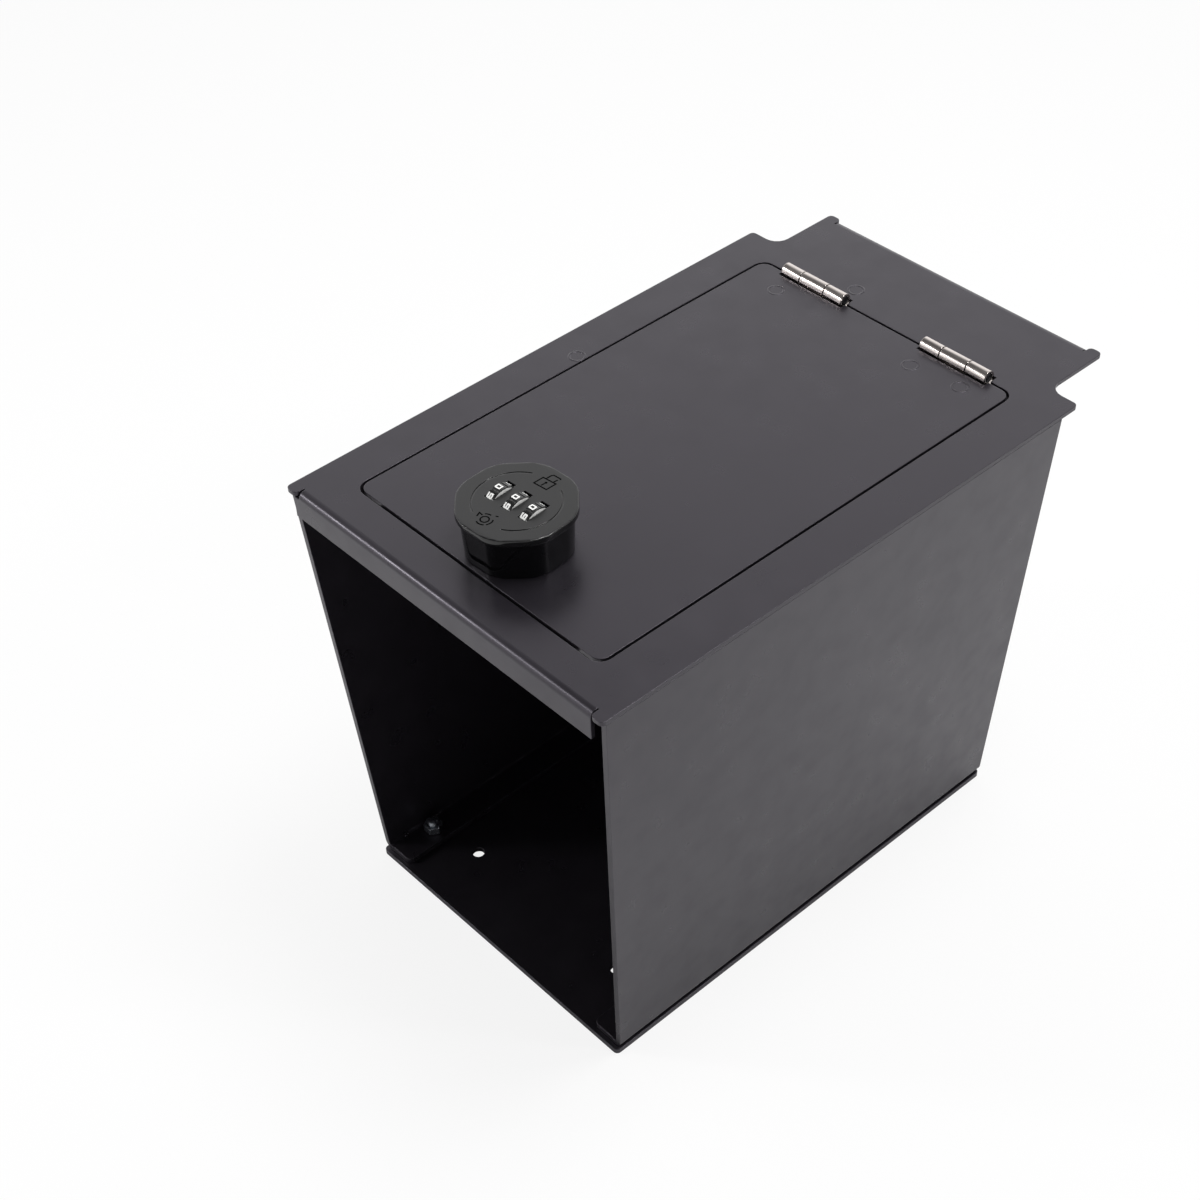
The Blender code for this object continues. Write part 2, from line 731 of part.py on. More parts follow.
def add_lid_panel(pivot):
    half = LID_WIDTH / 2
    corner = OPENING_CORNER - LID_SIDE_GAP
    front = LID_FRONT - PIVOT_Y
    rear = LID_REAR - PIVOT_Y
    reach = -BARREL_RADIUS - BARREL_ROOM
    outline = [
        (LID_SHIFT - half, front, corner),
        (LID_SHIFT + half, front, corner),
        (LID_SHIFT + half, rear, corner),
        *reversed(hinge_notch(1, rear, reach)),
        *reversed(hinge_notch(-1, rear, reach)),
        (LID_SHIFT - half, rear, corner),
    ]
    hole = double_d(SHANK_RADIUS + HOLE_ROOM, SHANK_FLATS / 2 + HOLE_ROOM, LOCK_TWIST)
    hole = [point + Vector((LID_SHIFT, LOCK_SETBACK - PIVOT_Y)) for point in hole]
    mesh = lifted(flat_sheet([rounded_loop(outline), hole], TOP_SHEET), PLATE_UNDER - PIVOT_Z)
    soften(add_piece("lid_panel", mesh, pivot, "powder_coated_steel"), EDGE_SOFTNESS)


def double_d(radius, half_flat, turn=0):
    """A circle with two opposite sides cut flat, as points."""
    cut = math.acos(half_flat / radius)
    points = []
    for start in (cut, cut + math.pi):
        for step in range(ARC_STEPS * 2 + 1):
            angle = start + (math.pi - 2 * cut) * step / (ARC_STEPS * 2) + turn
            points.append(radius * Vector((math.cos(angle), math.sin(angle))))
    return points


def joggle_drop():
    """How far a leaf steps down from its knuckles, to lie under the plates."""
    return PIVOT_Z - BARREL_RADIUS + LEAF_SHEET - (PLATE_UNDER - SEAT_GAP)


def leaf_outline(side):
    """A leaf's section in (y, z): round the barrel from its foot, then down under the plate."""
    foot = -BARREL_RADIUS
    drop = joggle_drop()
    step = JOGGLE_START + JOGGLE_RUN
    points = []
    for share in range(ROUND_STEPS + 1):
        turn = (2 * math.pi - LEAF_JOIN) * share / ROUND_STEPS
        points.append((-side * BARREL_RADIUS * math.sin(turn), -BARREL_RADIUS * math.cos(turn)))
    points += [
        (side * (step + LEAF_SHEET / 2), foot - drop + LEAF_SHEET),
        (side * LEAF_WIDTH, foot - drop + LEAF_SHEET),
        (side * LEAF_WIDTH, foot - drop),
        (side * step, foot - drop),
        (side * JOGGLE_START, foot),
    ]
    return [Vector(point) for point in points]


def add_hinge_leaf(name, side, parent, centre, gaps):
    """A leaf with its knuckles, about its origin on the axis. Side is +1 where the leaf runs to the rear."""
    bore = circle_loop(BARREL_RADIUS - LEAF_SHEET, steps=FINE_STEPS)
    mesh = along_x(flat_sheet([leaf_outline(side), bore], HINGE_LENGTH), -HINGE_LENGTH / 2)
    leaf = add_piece(name, mesh, parent, "nickel_plated_steel", centre)
    near = BARREL_RADIUS + OVERRUN
    far = BARREL_RADIUS + 2 * SEAT_GAP
    low, high = (-near, far) if side > 0 else (-far, near)
    height = 2 * (near + joggle_drop())
    for start, end in gaps:
        gap = flat_sheet([box_loop(start, end, low, high)], height)
        combine(leaf, lifted(gap, -height / 2), "DIFFERENCE")


def add_hinges(origin, pivot):
    half = HINGE_LENGTH / 2
    middle = MIDDLE_KNUCKLE / 2
    edge = KNUCKLE_GAP / 2
    for side, hand in ((-1, "left"), (1, "right")):
        x = LID_SHIFT + side * HINGE_SPACING / 2
        between = [(-middle - edge, middle + edge)]
        beside = [(-half - OVERRUN, -middle + edge), (middle - edge, half + OVERRUN)]
        add_hinge_leaf(f"frame_hinge_leaf_{hand}", 1, origin, (x, PIVOT_Y, PIVOT_Z), between)
        add_hinge_leaf(f"lid_hinge_leaf_{hand}", -1, pivot, (x, 0, 0), beside)
        radius = BARREL_RADIUS - LEAF_SHEET - SEAT_GAP
        profile = [
            (0, half),
            (radius - SMALL_EDGE, half),
            (radius, half - SMALL_EDGE),
            (radius, SMALL_EDGE - half),
            (radius - SMALL_EDGE, -half),
            (0, -half),
        ]
        place = (x, PIVOT_Y, PIVOT_Z)
        pin = revolve(f"hinge_pin_{hand}", profile, origin, "nickel_plated_steel", place, FINE_STEPS)
        pin.rotation_euler.y = math.radians(90)


# Lock. Its pieces hang from an empty on the lid's upper face, on the knob's axis.


def add_housing(seat):
    """The fixed part: a flange on the lid and a shank with two flats through it."""
    length = SHANK_LENGTH + TOP_SHEET + SEAT_GAP + HOUSING_FLANGE / 2
    bore = circle_loop(SPINDLE_RADIUS + HOLE_ROOM, steps=ROUND_STEPS)
    flange = lifted(flat_sheet([circle_loop(HOUSING_FLANGE_RADIUS), bore], HOUSING_FLANGE), SEAT_GAP)
    housing = add_piece("lock_housing", flange, seat, "zinc_plated_steel")
    shank = flat_sheet([double_d(SHANK_RADIUS, SHANK_FLATS / 2), bore], length)
    combine(housing, lifted(shank, SHANK_END), "UNION")


def add_lock_washer(seat):
    """A star washer: its inner teeth bite the lid under the nut."""
    outline = circle_loop(LOCK_WASHER_RADIUS, steps=ROUND_STEPS)
    teeth = []
    root = SHANK_RADIUS + HOLE_ROOM + WASHER_TOOTH
    tip = SHANK_RADIUS + HOLE_ROOM
    shares = ((0.0, root), (0.30, root), (0.42, tip), (0.88, tip))
    for tooth in range(WASHER_TEETH):
        for share, radius in shares:
            angle = 2 * math.pi * (tooth + share) / WASHER_TEETH
            teeth.append(radius * Vector((math.cos(angle), math.sin(angle))))
    level = -TOP_SHEET - SEAT_GAP - LOCK_WASHER_SHEET
    mesh = lifted(flat_sheet([outline, teeth], LOCK_WASHER_SHEET), level)
    add_piece("lock_washer", mesh, seat, "zinc_plated_steel")
    nut = hex_nut("lock_nut", LOCK_NUT_FLATS, LOCK_NUT_HEIGHT, SHANK_RADIUS, seat)
    nut.location.z = level - SEAT_GAP - LOCK_NUT_HEIGHT


def dial_places():
    return [DIAL_PITCH * (index - (DIAL_COUNT - 1) / 2) for index in range(DIAL_COUNT)]


def web_places():
    """The middles of the solid webs between the dials."""
    places = dial_places()
    return [(start + end) / 2 for start, end in zip(places, places[1:])]


def dial_slot(length, width=WINDOW_WIDTH):
    return box_loop(-width / 2, width / 2, -length / 2, length / 2)


def add_knob_body(turn):
    """The octagonal skirt, slotted for the dials and with open seats for their axle."""
    height = CAP_LEVEL - 2 * SEAT_GAP
    body = add_piece(
        "knob_body",
        prism(8, SKIRT_FOOT_FLATS, height, SKIRT_TOP_FLATS, SKIRT_CORNER, ARC_STEPS),
        turn,
        "black_knob_zinc",
        (0, 0, SEAT_GAP),
    )
    recess = SPINDLE_HEAD_LEVEL + SPINDLE_HEAD
    round_recess = circle_loop(HOUSING_FLANGE_RADIUS + HOLE_ROOM)
    combine(body, lifted(flat_sheet([round_recess], recess + OVERRUN), -OVERRUN), "DIFFERENCE")
    slot_length = 2 * (DIAL_RADIUS + HOLE_ROOM)
    for x in dial_places():
        slot = lifted(flat_sheet([dial_slot(slot_length)], height + 2 * OVERRUN), -OVERRUN)
        combine(body, slot, "DIFFERENCE", (x, 0, 0))
    radius = AXLE_RADIUS + HOLE_ROOM
    low = AXLE_LEVEL - SEAT_GAP - radius
    high = height + OVERRUN
    seat = [(-radius, low, radius), (radius, low, radius), (radius, high, 0), (-radius, high, 0)]
    span = AXLE_LENGTH + 2 * HOLE_ROOM
    combine(body, along_x(flat_sheet([rounded_loop(seat)], span), -span / 2), "DIFFERENCE")
    for x, y in knob_screw_places():
        hole = circle_loop(KNOB_SCREW_RADIUS + HOLE_ROOM, (x, y), FINE_STEPS)
        depth = recess + KNOB_SCREW_LENGTH
        combine(body, flat_sheet([hole], depth), "DIFFERENCE")
    soften(body, EDGE_SOFTNESS)


def knob_screw_places():
    return [(web_places()[-1], KNOB_SCREW_INSET), (web_places()[0], -KNOB_SCREW_INSET)]


def add_knob_cap(turn):
    """The octagonal top plate with its dial windows and its broken ring groove."""
    cap = add_piece(
        "knob_cap",
        prism(8, CAP_FLATS, CAP_HEIGHT, corner=CAP_CORNER, segments=ARC_STEPS),
        turn,
        "black_knob_zinc",
        (0, 0, CAP_LEVEL),
    )
    soften(cap, CAP_CHAMFER, 2)
    pocket = CAP_HEIGHT - CAP_SKIN + OVERRUN
    for x in dial_places():
        below = flat_sheet([dial_slot(2 * (DIAL_RADIUS + HOLE_ROOM))], pocket)
        combine(cap, lifted(below, -OVERRUN), "DIFFERENCE", (x, 0, 0))
        window = flat_sheet([dial_slot(WINDOW_LENGTH)], CAP_HEIGHT + 2 * OVERRUN)
        combine(cap, lifted(window, -OVERRUN), "DIFFERENCE", (x, 0, 0))
    for side in (0, math.pi):
        arc = turned(flat_sheet([arc_loop(GROOVE_RADIUS, GROOVE_WIDTH, GROOVE_SWEEP)], CAP_HEIGHT), side)
        combine(cap, lifted(arc, CAP_HEIGHT - GROOVE_DEPTH), "DIFFERENCE")
    peg = CAP_LEVEL - (AXLE_LEVEL + AXLE_RADIUS + SEAT_GAP)
    for x in web_places():
        half = AXLE_RADIUS - HOLE_ROOM / 2
        rib = flat_sheet([box_loop(x - half, x + half, -half, half)], peg + CAP_HEIGHT / 2)
        combine(cap, lifted(rib, -peg), "UNION")


def arc_loop(radius, width, sweep):
    """A slot along an arc about the origin, centred on +X."""
    points = []
    for reach, way in ((radius + width / 2, 1), (radius - width / 2, -1)):
        for step in range(ROUND_STEPS + 1):
            angle = way * sweep * (step / ROUND_STEPS - 0.5)
            points.append(reach * Vector((math.cos(angle), math.sin(angle))))
    return points


def add_dials(turn):
    """Three dials on one axle, each with a notch between its digit faces."""
    for number, x in enumerate(dial_places(), 1):
        loop = []
        notch = math.asin(DIAL_NOTCH / DIAL_RADIUS)
        face = 2 * math.pi / DIAL_DIGITS
        for digit in range(DIAL_DIGITS):
            start = math.pi / 2 + face * (digit - 0.5)
            for step in range(ARC_STEPS):
                angle = start + notch + (face - 2 * notch) * step / (ARC_STEPS - 1)
                loop.append(DIAL_RADIUS * Vector((math.cos(angle), math.sin(angle))))
            angle = start + face
            loop.append((DIAL_RADIUS - DIAL_NOTCH) * Vector((math.cos(angle), math.sin(angle))))
        bore = circle_loop(AXLE_RADIUS + HOLE_ROOM, steps=FINE_STEPS)
        mesh = along_x(flat_sheet([loop, bore], DIAL_WIDTH), -DIAL_WIDTH / 2)
        dial = add_piece(f"dial_wheel_{number}", mesh, turn, "dial_plastic", (x, 0, AXLE_LEVEL))
        soften(dial, SMALL_EDGE, 1)
    half = AXLE_LENGTH / 2
    profile = [(0, half), (AXLE_RADIUS, half), (AXLE_RADIUS, -half), (0, -half)]
    axle = revolve("dial_axle", profile, turn, "brass", (0, 0, AXLE_LEVEL), FINE_STEPS)
    axle.rotation_euler.y = math.radians(90)


def add_spindle(turn):
    """The head under the dials, the shaft through the housing and the square that drives the cam."""
    top = SPINDLE_HEAD_LEVEL + SPINDLE_HEAD
    profile = [
        (0, top),
        (SPINDLE_HEAD_RADIUS, top),
        (SPINDLE_HEAD_RADIUS, SPINDLE_HEAD_LEVEL),
        (SPINDLE_RADIUS, SPINDLE_HEAD_LEVEL),
        (SPINDLE_RADIUS, SHANK_END),
        (0, SHANK_END),
    ]
    spindle = revolve("lock_spindle", profile, turn, "brass")
    square = prism(4, SPINDLE_SQUARE, CAM_SHEET + SEAT_GAP + SPINDLE_HEAD)
    combine(spindle, lifted(square, CAM_LEVEL + SEAT_GAP / 2), "UNION")
    reach = CAM_SCREW_LENGTH
    hole = flat_sheet([circle_loop(CAM_SCREW_RADIUS + HOLE_ROOM, steps=FINE_STEPS)], reach + OVERRUN)
    combine(spindle, lifted(hole, CAM_LEVEL - OVERRUN), "DIFFERENCE")
    for x, y in knob_screw_places():
        wide = KNOB_SCREW_HEAD_RADIUS + HOLE_ROOM
        narrow = KNOB_SCREW_RADIUS + HOLE_ROOM
        low = SPINDLE_HEAD_LEVEL - OVERRUN
        high = top + OVERRUN
        loop = [(0, low), (wide, low), (wide, SPINDLE_HEAD_LEVEL), (narrow, top), (narrow, high), (0, high)]
        combine(spindle, spun_mesh(loop, FINE_STEPS), "DIFFERENCE", (x, y, 0))
        screw = [
            (0, top + KNOB_SCREW_LENGTH - SEAT_GAP),
            (KNOB_SCREW_RADIUS, top + KNOB_SCREW_LENGTH - SEAT_GAP),
            (KNOB_SCREW_RADIUS, top),
            (KNOB_SCREW_HEAD_RADIUS, SPINDLE_HEAD_LEVEL),
            (0, SPINDLE_HEAD_LEVEL),
        ]
        number = knob_screw_places().index((x, y)) + 1
        revolve(f"knob_screw_{number}", screw, turn, "zinc_plated_steel", (x, y, 0), FINE_STEPS)


def add_cam(turn):
    """The latch: a flat hub on the spindle's square, bent up so that its nose runs under the lid rest."""
    nose = REST_LEVEL - BOX_HEIGHT - CAM_PLAY - CAM_SHEET
    bend_out = CAM_REACH - CAM_NOSE_LENGTH
    bend_in = bend_out - CAM_RAMP
    profile = rounded_loop(
        [
            (-CAM_HUB_RADIUS - OVERRUN, CAM_LEVEL, 0),
            (bend_in + CAM_SHEET / 2, CAM_LEVEL, CAM_BEND + CAM_SHEET),
            (bend_out + CAM_SHEET / 2, nose, CAM_BEND),
            (CAM_REACH + OVERRUN, nose, 0),
            (CAM_REACH + OVERRUN, nose + CAM_SHEET, 0),
            (bend_out - CAM_SHEET / 2, nose + CAM_SHEET, CAM_BEND + CAM_SHEET),
            (bend_in - CAM_SHEET / 2, CAM_LEVEL + CAM_SHEET, CAM_BEND),
            (-CAM_HUB_RADIUS - OVERRUN, CAM_LEVEL + CAM_SHEET, 0),
        ]
    )
    width = CAM_WIDTH + 2 * CAM_HUB_RADIUS
    strip = along_y(flat_sheet([profile], width), -width / 2, width)
    cam = add_piece("cam", strip, turn, "zinc_plated_steel")
    half = CAM_WIDTH / 2
    plan = rounded_loop(
        [
            (-CAM_HUB_RADIUS, -CAM_HUB_RADIUS, CAM_HUB_RADIUS - SMALL_EDGE),
            (CAM_HUB_RADIUS / 2, -CAM_HUB_RADIUS, CAM_HUB_RADIUS / 2),
            (bend_in, -half, 0),
            (CAM_REACH, -half, half - SMALL_EDGE),
            (CAM_REACH, half, half - SMALL_EDGE),
            (bend_in, half, 0),
            (CAM_HUB_RADIUS / 2, CAM_HUB_RADIUS, CAM_HUB_RADIUS / 2),
            (-CAM_HUB_RADIUS, CAM_HUB_RADIUS, CAM_HUB_RADIUS - SMALL_EDGE),
        ]
    )
    depth = -CAM_LEVEL
    combine(cam, lifted(flat_sheet([plan], depth), CAM_LEVEL - OVERRUN), "INTERSECT")
    square = prism(4, SPINDLE_SQUARE + 2 * HOLE_ROOM, CAM_SHEET + 2 * OVERRUN)
    combine(cam, lifted(square, CAM_LEVEL - OVERRUN), "DIFFERENCE")
    washer_top = CAM_LEVEL - SEAT_GAP
    washer_level = washer_top - CAM_WASHER_SHEET
    hole = CAM_SCREW_RADIUS + HOLE_ROOM
    washer = [
        (CAM_WASHER_RADIUS, washer_top),
        (CAM_WASHER_RADIUS, washer_level),
        (hole, washer_level),
        (hole, washer_top),
    ]
    revolve("cam_washer", washer, turn, "zinc_plated_steel")
    head_top = washer_level - SEAT_GAP
    tip = head_top + CAM_SCREW_LENGTH
    screw = [
        (0, tip),
        (CAM_SCREW_RADIUS, tip),
        (CAM_SCREW_RADIUS, head_top),
        (CAM_SCREW_HEAD_RADIUS, head_top),
        (CAM_SCREW_HEAD_RADIUS, head_top - CAM_SCREW_HEAD / 2),
        (CAM_SCREW_HEAD_RADIUS - CAM_SCREW_HEAD / 4, head_top - CAM_SCREW_HEAD),
        (0, head_top - CAM_SCREW_HEAD),
    ]
    bolt = revolve("cam_screw", screw, turn, "zinc_plated_steel", steps=FINE_STEPS)
    foot = head_top - CAM_SCREW_HEAD
    for width, length in ((CAM_SCREW_SLOT, CAM_SCREW_RADIUS * 3), (CAM_SCREW_RADIUS * 3, CAM_SCREW_SLOT)):
        slot = box_loop(-width / 2, width / 2, -length / 2, length / 2)
        combine(bolt, lifted(flat_sheet([slot], CAM_SCREW_HEAD / 2 + OVERRUN), foot - OVERRUN), "DIFFERENCE")


def build():
    origin = empty("box_origin", None, (0, FRONT_FACE, 0))
    add_top_frame(origin)
    add_wall("left_wall", -1, origin)
    add_wall("right_wall", 1, origin)
    add_back_wall(origin)
    add_bottom_plate(origin)
    add_flange_fasteners(origin)
    add_lid_rest(origin)
    pivot = empty("lid_pivot", origin, (0, PIVOT_Y, PIVOT_Z))
    add_lid_panel(pivot)
    add_hinges(origin, pivot)
    place = (LID_SHIFT, LOCK_SETBACK - PIVOT_Y, BOX_HEIGHT - PIVOT_Z)
    seat = empty("lock_seat", pivot, place, LOCK_TWIST)
    add_housing(seat)
    add_lock_washer(seat)
    turn = empty("lock_turn", seat, (0, 0, 0))
    add_spindle(turn)
    add_knob_body(turn)
    add_knob_cap(turn)
    add_dials(turn)
    add_cam(turn)


clear_scene()
parts = new_collection("console_lock_box")
cutters = new_collection("cutters")
build()
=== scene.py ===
"""Looks of the console lock box: its finishes, its small details and the studio that it stands in."""

import json
import math

import bmesh
import bpy
from bpy.props import FloatProperty, FloatVectorProperty, PointerProperty
from mathutils import Matrix, Vector


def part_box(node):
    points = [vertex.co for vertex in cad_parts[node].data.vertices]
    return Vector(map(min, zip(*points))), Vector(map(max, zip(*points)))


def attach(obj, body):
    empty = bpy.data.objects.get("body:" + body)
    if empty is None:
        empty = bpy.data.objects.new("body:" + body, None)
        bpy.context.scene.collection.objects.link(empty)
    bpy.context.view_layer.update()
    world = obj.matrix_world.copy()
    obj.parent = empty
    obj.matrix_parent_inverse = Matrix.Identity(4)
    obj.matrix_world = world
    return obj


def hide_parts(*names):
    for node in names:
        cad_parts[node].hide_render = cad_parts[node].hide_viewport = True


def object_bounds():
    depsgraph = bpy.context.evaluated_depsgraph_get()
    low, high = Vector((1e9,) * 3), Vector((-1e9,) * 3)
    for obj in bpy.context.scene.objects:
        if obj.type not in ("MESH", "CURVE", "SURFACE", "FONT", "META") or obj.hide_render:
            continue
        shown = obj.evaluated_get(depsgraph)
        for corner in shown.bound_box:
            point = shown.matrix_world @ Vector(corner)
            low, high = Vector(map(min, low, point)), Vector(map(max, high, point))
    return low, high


bl_info = {
    "name": "Console lock box",
    "version": (1, 0, 0),
    "blender": (4, 5, 0),
    "location": "3D view > Sidebar > Lock box",
    "description": "Finishes and small details of a steel console lock box, and its studio",
    "category": "Object",
}

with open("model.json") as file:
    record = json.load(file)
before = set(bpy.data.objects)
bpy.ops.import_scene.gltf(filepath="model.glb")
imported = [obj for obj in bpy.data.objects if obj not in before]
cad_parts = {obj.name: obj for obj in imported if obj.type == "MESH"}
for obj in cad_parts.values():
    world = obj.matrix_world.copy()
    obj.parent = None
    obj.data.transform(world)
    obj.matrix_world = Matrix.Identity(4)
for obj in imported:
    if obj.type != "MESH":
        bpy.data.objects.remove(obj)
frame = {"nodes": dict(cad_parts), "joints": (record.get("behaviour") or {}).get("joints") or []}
CAD_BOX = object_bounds()
JOINTS = {joint["name"]: joint for joint in frame["joints"]}
MM = 0.001


def linear(hex_colour):
    """Turns an sRGB hex value into the linear colour that a shader takes."""
    channels = [int(hex_colour[place : place + 2], 16) / 255 for place in (1, 3, 5)]
    return [c / 12.92 if c <= 0.04045 else ((c + 0.055) / 1.055) ** 2.4 for c in channels]


# ---------------------------------------------------------------- materials


def new_tree(name):
    """A material of that name with an empty node tree, and the tree."""
    material = bpy.data.materials.new(name)
    material.use_nodes = True
    material.node_tree.nodes.clear()
    return material, material.node_tree


def add(tree, kind, inputs=None, **settings):
    """Adds a node with its settings. Each input takes a value, or a socket to link from."""
    node = tree.nodes.new(kind)
    for name, value in settings.items():
        setattr(node, name, value)
    for name, value in (inputs or {}).items():
        socket = node.inputs[name]
        if isinstance(value, bpy.types.NodeSocket):
            tree.links.new(value, socket)
        else:
            socket.default_value = value
    return node


def colour(values):
    """Four numbers for a colour socket."""
    return (*values[:3], 1)


def patch(tree, place, size, detail=2.0, stretch=(1, 1, 1)):
    """A noise pattern whose patches are that many metres across, as a socket from 0 to 1."""
    scaled = add(tree, "ShaderNodeVectorMath", {0: place, 1: stretch}, operation="MULTIPLY")
    noise = add(tree, "ShaderNodeTexNoise", {"Vector": scaled.outputs[0], "Scale": 1 / size, "Detail": detail})
    return noise.outputs["Fac"]


def between(tree, share, low, high):
    """A number socket that runs from low to high as the pattern goes from its dark to its light patches."""
    spread = {"Value": share, "From Min": 0.3, "From Max": 0.7, "To Min": low, "To Max": high}
    return add(tree, "ShaderNodeMapRange", spread).outputs[0]


def blend_colours(tree, share, first, second):
    """A colour socket: first where share is 0, second where it is 1."""
    mix = add(tree, "ShaderNodeMix", data_type="RGBA")
    for index, value in ((0, share), (6, first), (7, second)):
        if isinstance(value, bpy.types.NodeSocket):
            tree.links.new(value, mix.inputs[index])
        else:
            mix.inputs[index].default_value = value
    return mix.outputs[2]


def rounded_edges(tree, radius):
    """The normal of edges rounded to that radius, and a share that is 1 along those edges."""
    rounded = add(tree, "ShaderNodeBevel", {"Radius": radius}, samples=8).outputs[0]
    flat = add(tree, "ShaderNodeNewGeometry").outputs["True Normal"]
    along = add(tree, "ShaderNodeVectorMath", {0: rounded, 1: flat}, operation="DOT_PRODUCT").outputs["Value"]
    edge = add(tree, "ShaderNodeMapRange", {"Value": along, "From Min": 0.99, "From Max": 0.8})
    return rounded, edge.outputs[0]


def finished(material, tree, surface):
    """Gives the material its surface shader and returns it."""
    add(tree, "ShaderNodeOutputMaterial", {"Surface": surface.outputs[0]})
    return material


def powder_coat(settings):
    """Epoxy powder baked on folded steel sheet: a black semi-gloss skin with fine orange peel,
    thinner over the sheared edges, which are painted a lighter grey as a painted edge highlight."""
    material, tree = new_tree("epoxy_powder_coat_black")
    place = add(tree, "ShaderNodeTexCoord").outputs["Object"]
    dark = colour(settings.coat)
    pale = colour([c * 1.35 for c in settings.coat])
    # The powder lies in clouds some 25 mm wide, where the gun passed.
    cloud = patch(tree, place, 0.025, 3.0)
    # Real orange peel is about 0.5 mm across; it is drawn at the size set, which shows at this distance.
    peel = patch(tree, place, settings.peel_size, 3.0)
    body = blend_colours(tree, cloud, dark, pale)
    rounded, edge = rounded_edges(tree, settings.edge_radius)
    # The edges are blended towards the lighter edge colour: a painted edge highlight.
    body = blend_colours(tree, between(tree, edge, 0.0, 0.3), body, colour(settings.edge))
    bump = add(tree, "ShaderNodeBump", {"Strength": 1.0, "Distance": settings.peel_height, "Height": peel, "Normal": rounded})
    surface = add(
        tree,
        "ShaderNodeBsdfPrincipled",
        {
            "Base Color": body,
            "Roughness": between(tree, patch(tree, place, 0.012), 0.27, 0.37),
            "IOR": 1.55,
            "Specular Tint": (0.93, 0.87, 1.0, 1),
            "Normal": bump.outputs[0],
        },
    )
    return finished(material, tree, surface)


def plated(name, values, grain, rough_low, rough_high, stretch=(1, 1, 1), height=0.000006):
    """Plate over steel or plain metal: the grain is the mark that drawing, rolling or turning left in it."""
    material, tree = new_tree(name)
    place = add(tree, "ShaderNodeTexCoord").outputs["Object"]
    marks = patch(tree, place, grain, 4.0, stretch)
    dull = patch(tree, place, 0.006, 2.0)
    tone = blend_colours(tree, dull, colour([c * 0.86 for c in values]), colour(values))
    rounded, _ = rounded_edges(tree, 0.00025)
    bump = add(tree, "ShaderNodeBump", {"Strength": 0.6, "Distance": height, "Height": marks, "Normal": rounded})
    surface = add(
        tree,
        "ShaderNodeBsdfPrincipled",
        {
            "Base Color": tone,
            "Metallic": 1.0,
            "Roughness": between(tree, marks, rough_low, rough_high),
            "Normal": bump.outputs[0],
        },
    )
    return finished(material, tree, surface)


def nickel(settings):
    """Bright nickel on rolled steel leaves: a warm mirror, drawn out a little along the knuckles."""
    return plated("bright_nickel_plate", settings.nickel, 0.0012, 0.14, 0.24, (0.15, 1, 1), 0.000002)


def seam_shade_pin_steel(settings):
    """Drawn steel wire, coloured dark as painted shade for the seams between the hinges' knuckles: a dark metal, a
    little streaked along its length.
    """
    return plated("pin_steel_dark_for_seam_shade", settings.pin, 0.0006, 0.3, 0.45, (0.2, 1, 1))


def zinc(settings):
    """Bright zinc on turned and pressed steel: bluish and a little cloudy."""
    return plated("bright_zinc_plate", settings.zinc, 0.0008, 0.24, 0.38)


def brass(settings):
    """Turned free-cutting brass: yellow, with fine rings from the tool."""
    return plated("turned_brass", settings.brass, 0.0004, 0.2, 0.34, (1, 1, 4))


def die_cast_enamel(name, values, rough_low, rough_high, speck_size, speck_height, edge_share, side_rough=None):
    """Enamel over die-cast zinc. The specks are the casting's skin, which shows through the enamel.
    Where side_rough is given, only the level face is blasted, and the rest is that smooth."""
    material, tree = new_tree(name)
    place = add(tree, "ShaderNodeTexCoord").outputs["Object"]
    cloud = patch(tree, place, 0.009, 2.0)
    specks = patch(tree, place, speck_size, 2.0)
    tone = blend_colours(tree, cloud, colour(values), colour([c * 1.5 + 0.001 for c in values]))
    rounded, edge = rounded_edges(tree, 0.0003)
    tone = blend_colours(tree, between(tree, edge, 0.0, edge_share), tone, colour(linear("#5c5c5e")))
    bump = add(tree, "ShaderNodeBump", {"Strength": 1.0, "Distance": speck_height, "Height": specks, "Normal": rounded})
    rough = between(tree, cloud, rough_low, rough_high)
    if side_rough is not None:
        up = add(tree, "ShaderNodeSeparateXYZ", {"Vector": rounded}).outputs["Z"]
        spread = {"Value": up, "From Min": 0.9, "From Max": 0.99, "To Min": side_rough, "To Max": rough}
        rough = add(tree, "ShaderNodeMapRange", spread).outputs[0]
    surface = add(
        tree,
        "ShaderNodeBsdfPrincipled",
        {
            "Base Color": tone,
            "Roughness": rough,
            "IOR": 1.5,
            "Normal": bump.outputs[0],
        },
    )
    return finished(material, tree, surface)


def gloss_enamel(settings):
    """Stoved gloss enamel on the knob's skirt: near-black and mirror-like, with a slow casting wave."""
    return die_cast_enamel("gloss_enamel_on_die_cast_zinc", settings.skirt, 0.06, 0.12, 0.004, 0.000008, 0.0)


def satin_enamel(settings):
    """Satin enamel on the knob's cap, sprayed over blasted zinc: soft, with fine specks of about 0.3 mm."""
    return die_cast_enamel("satin_enamel_on_die_cast_zinc", settings.cap, 0.34, 0.42, 0.0005, 0.000004, 0.0, 0.07)


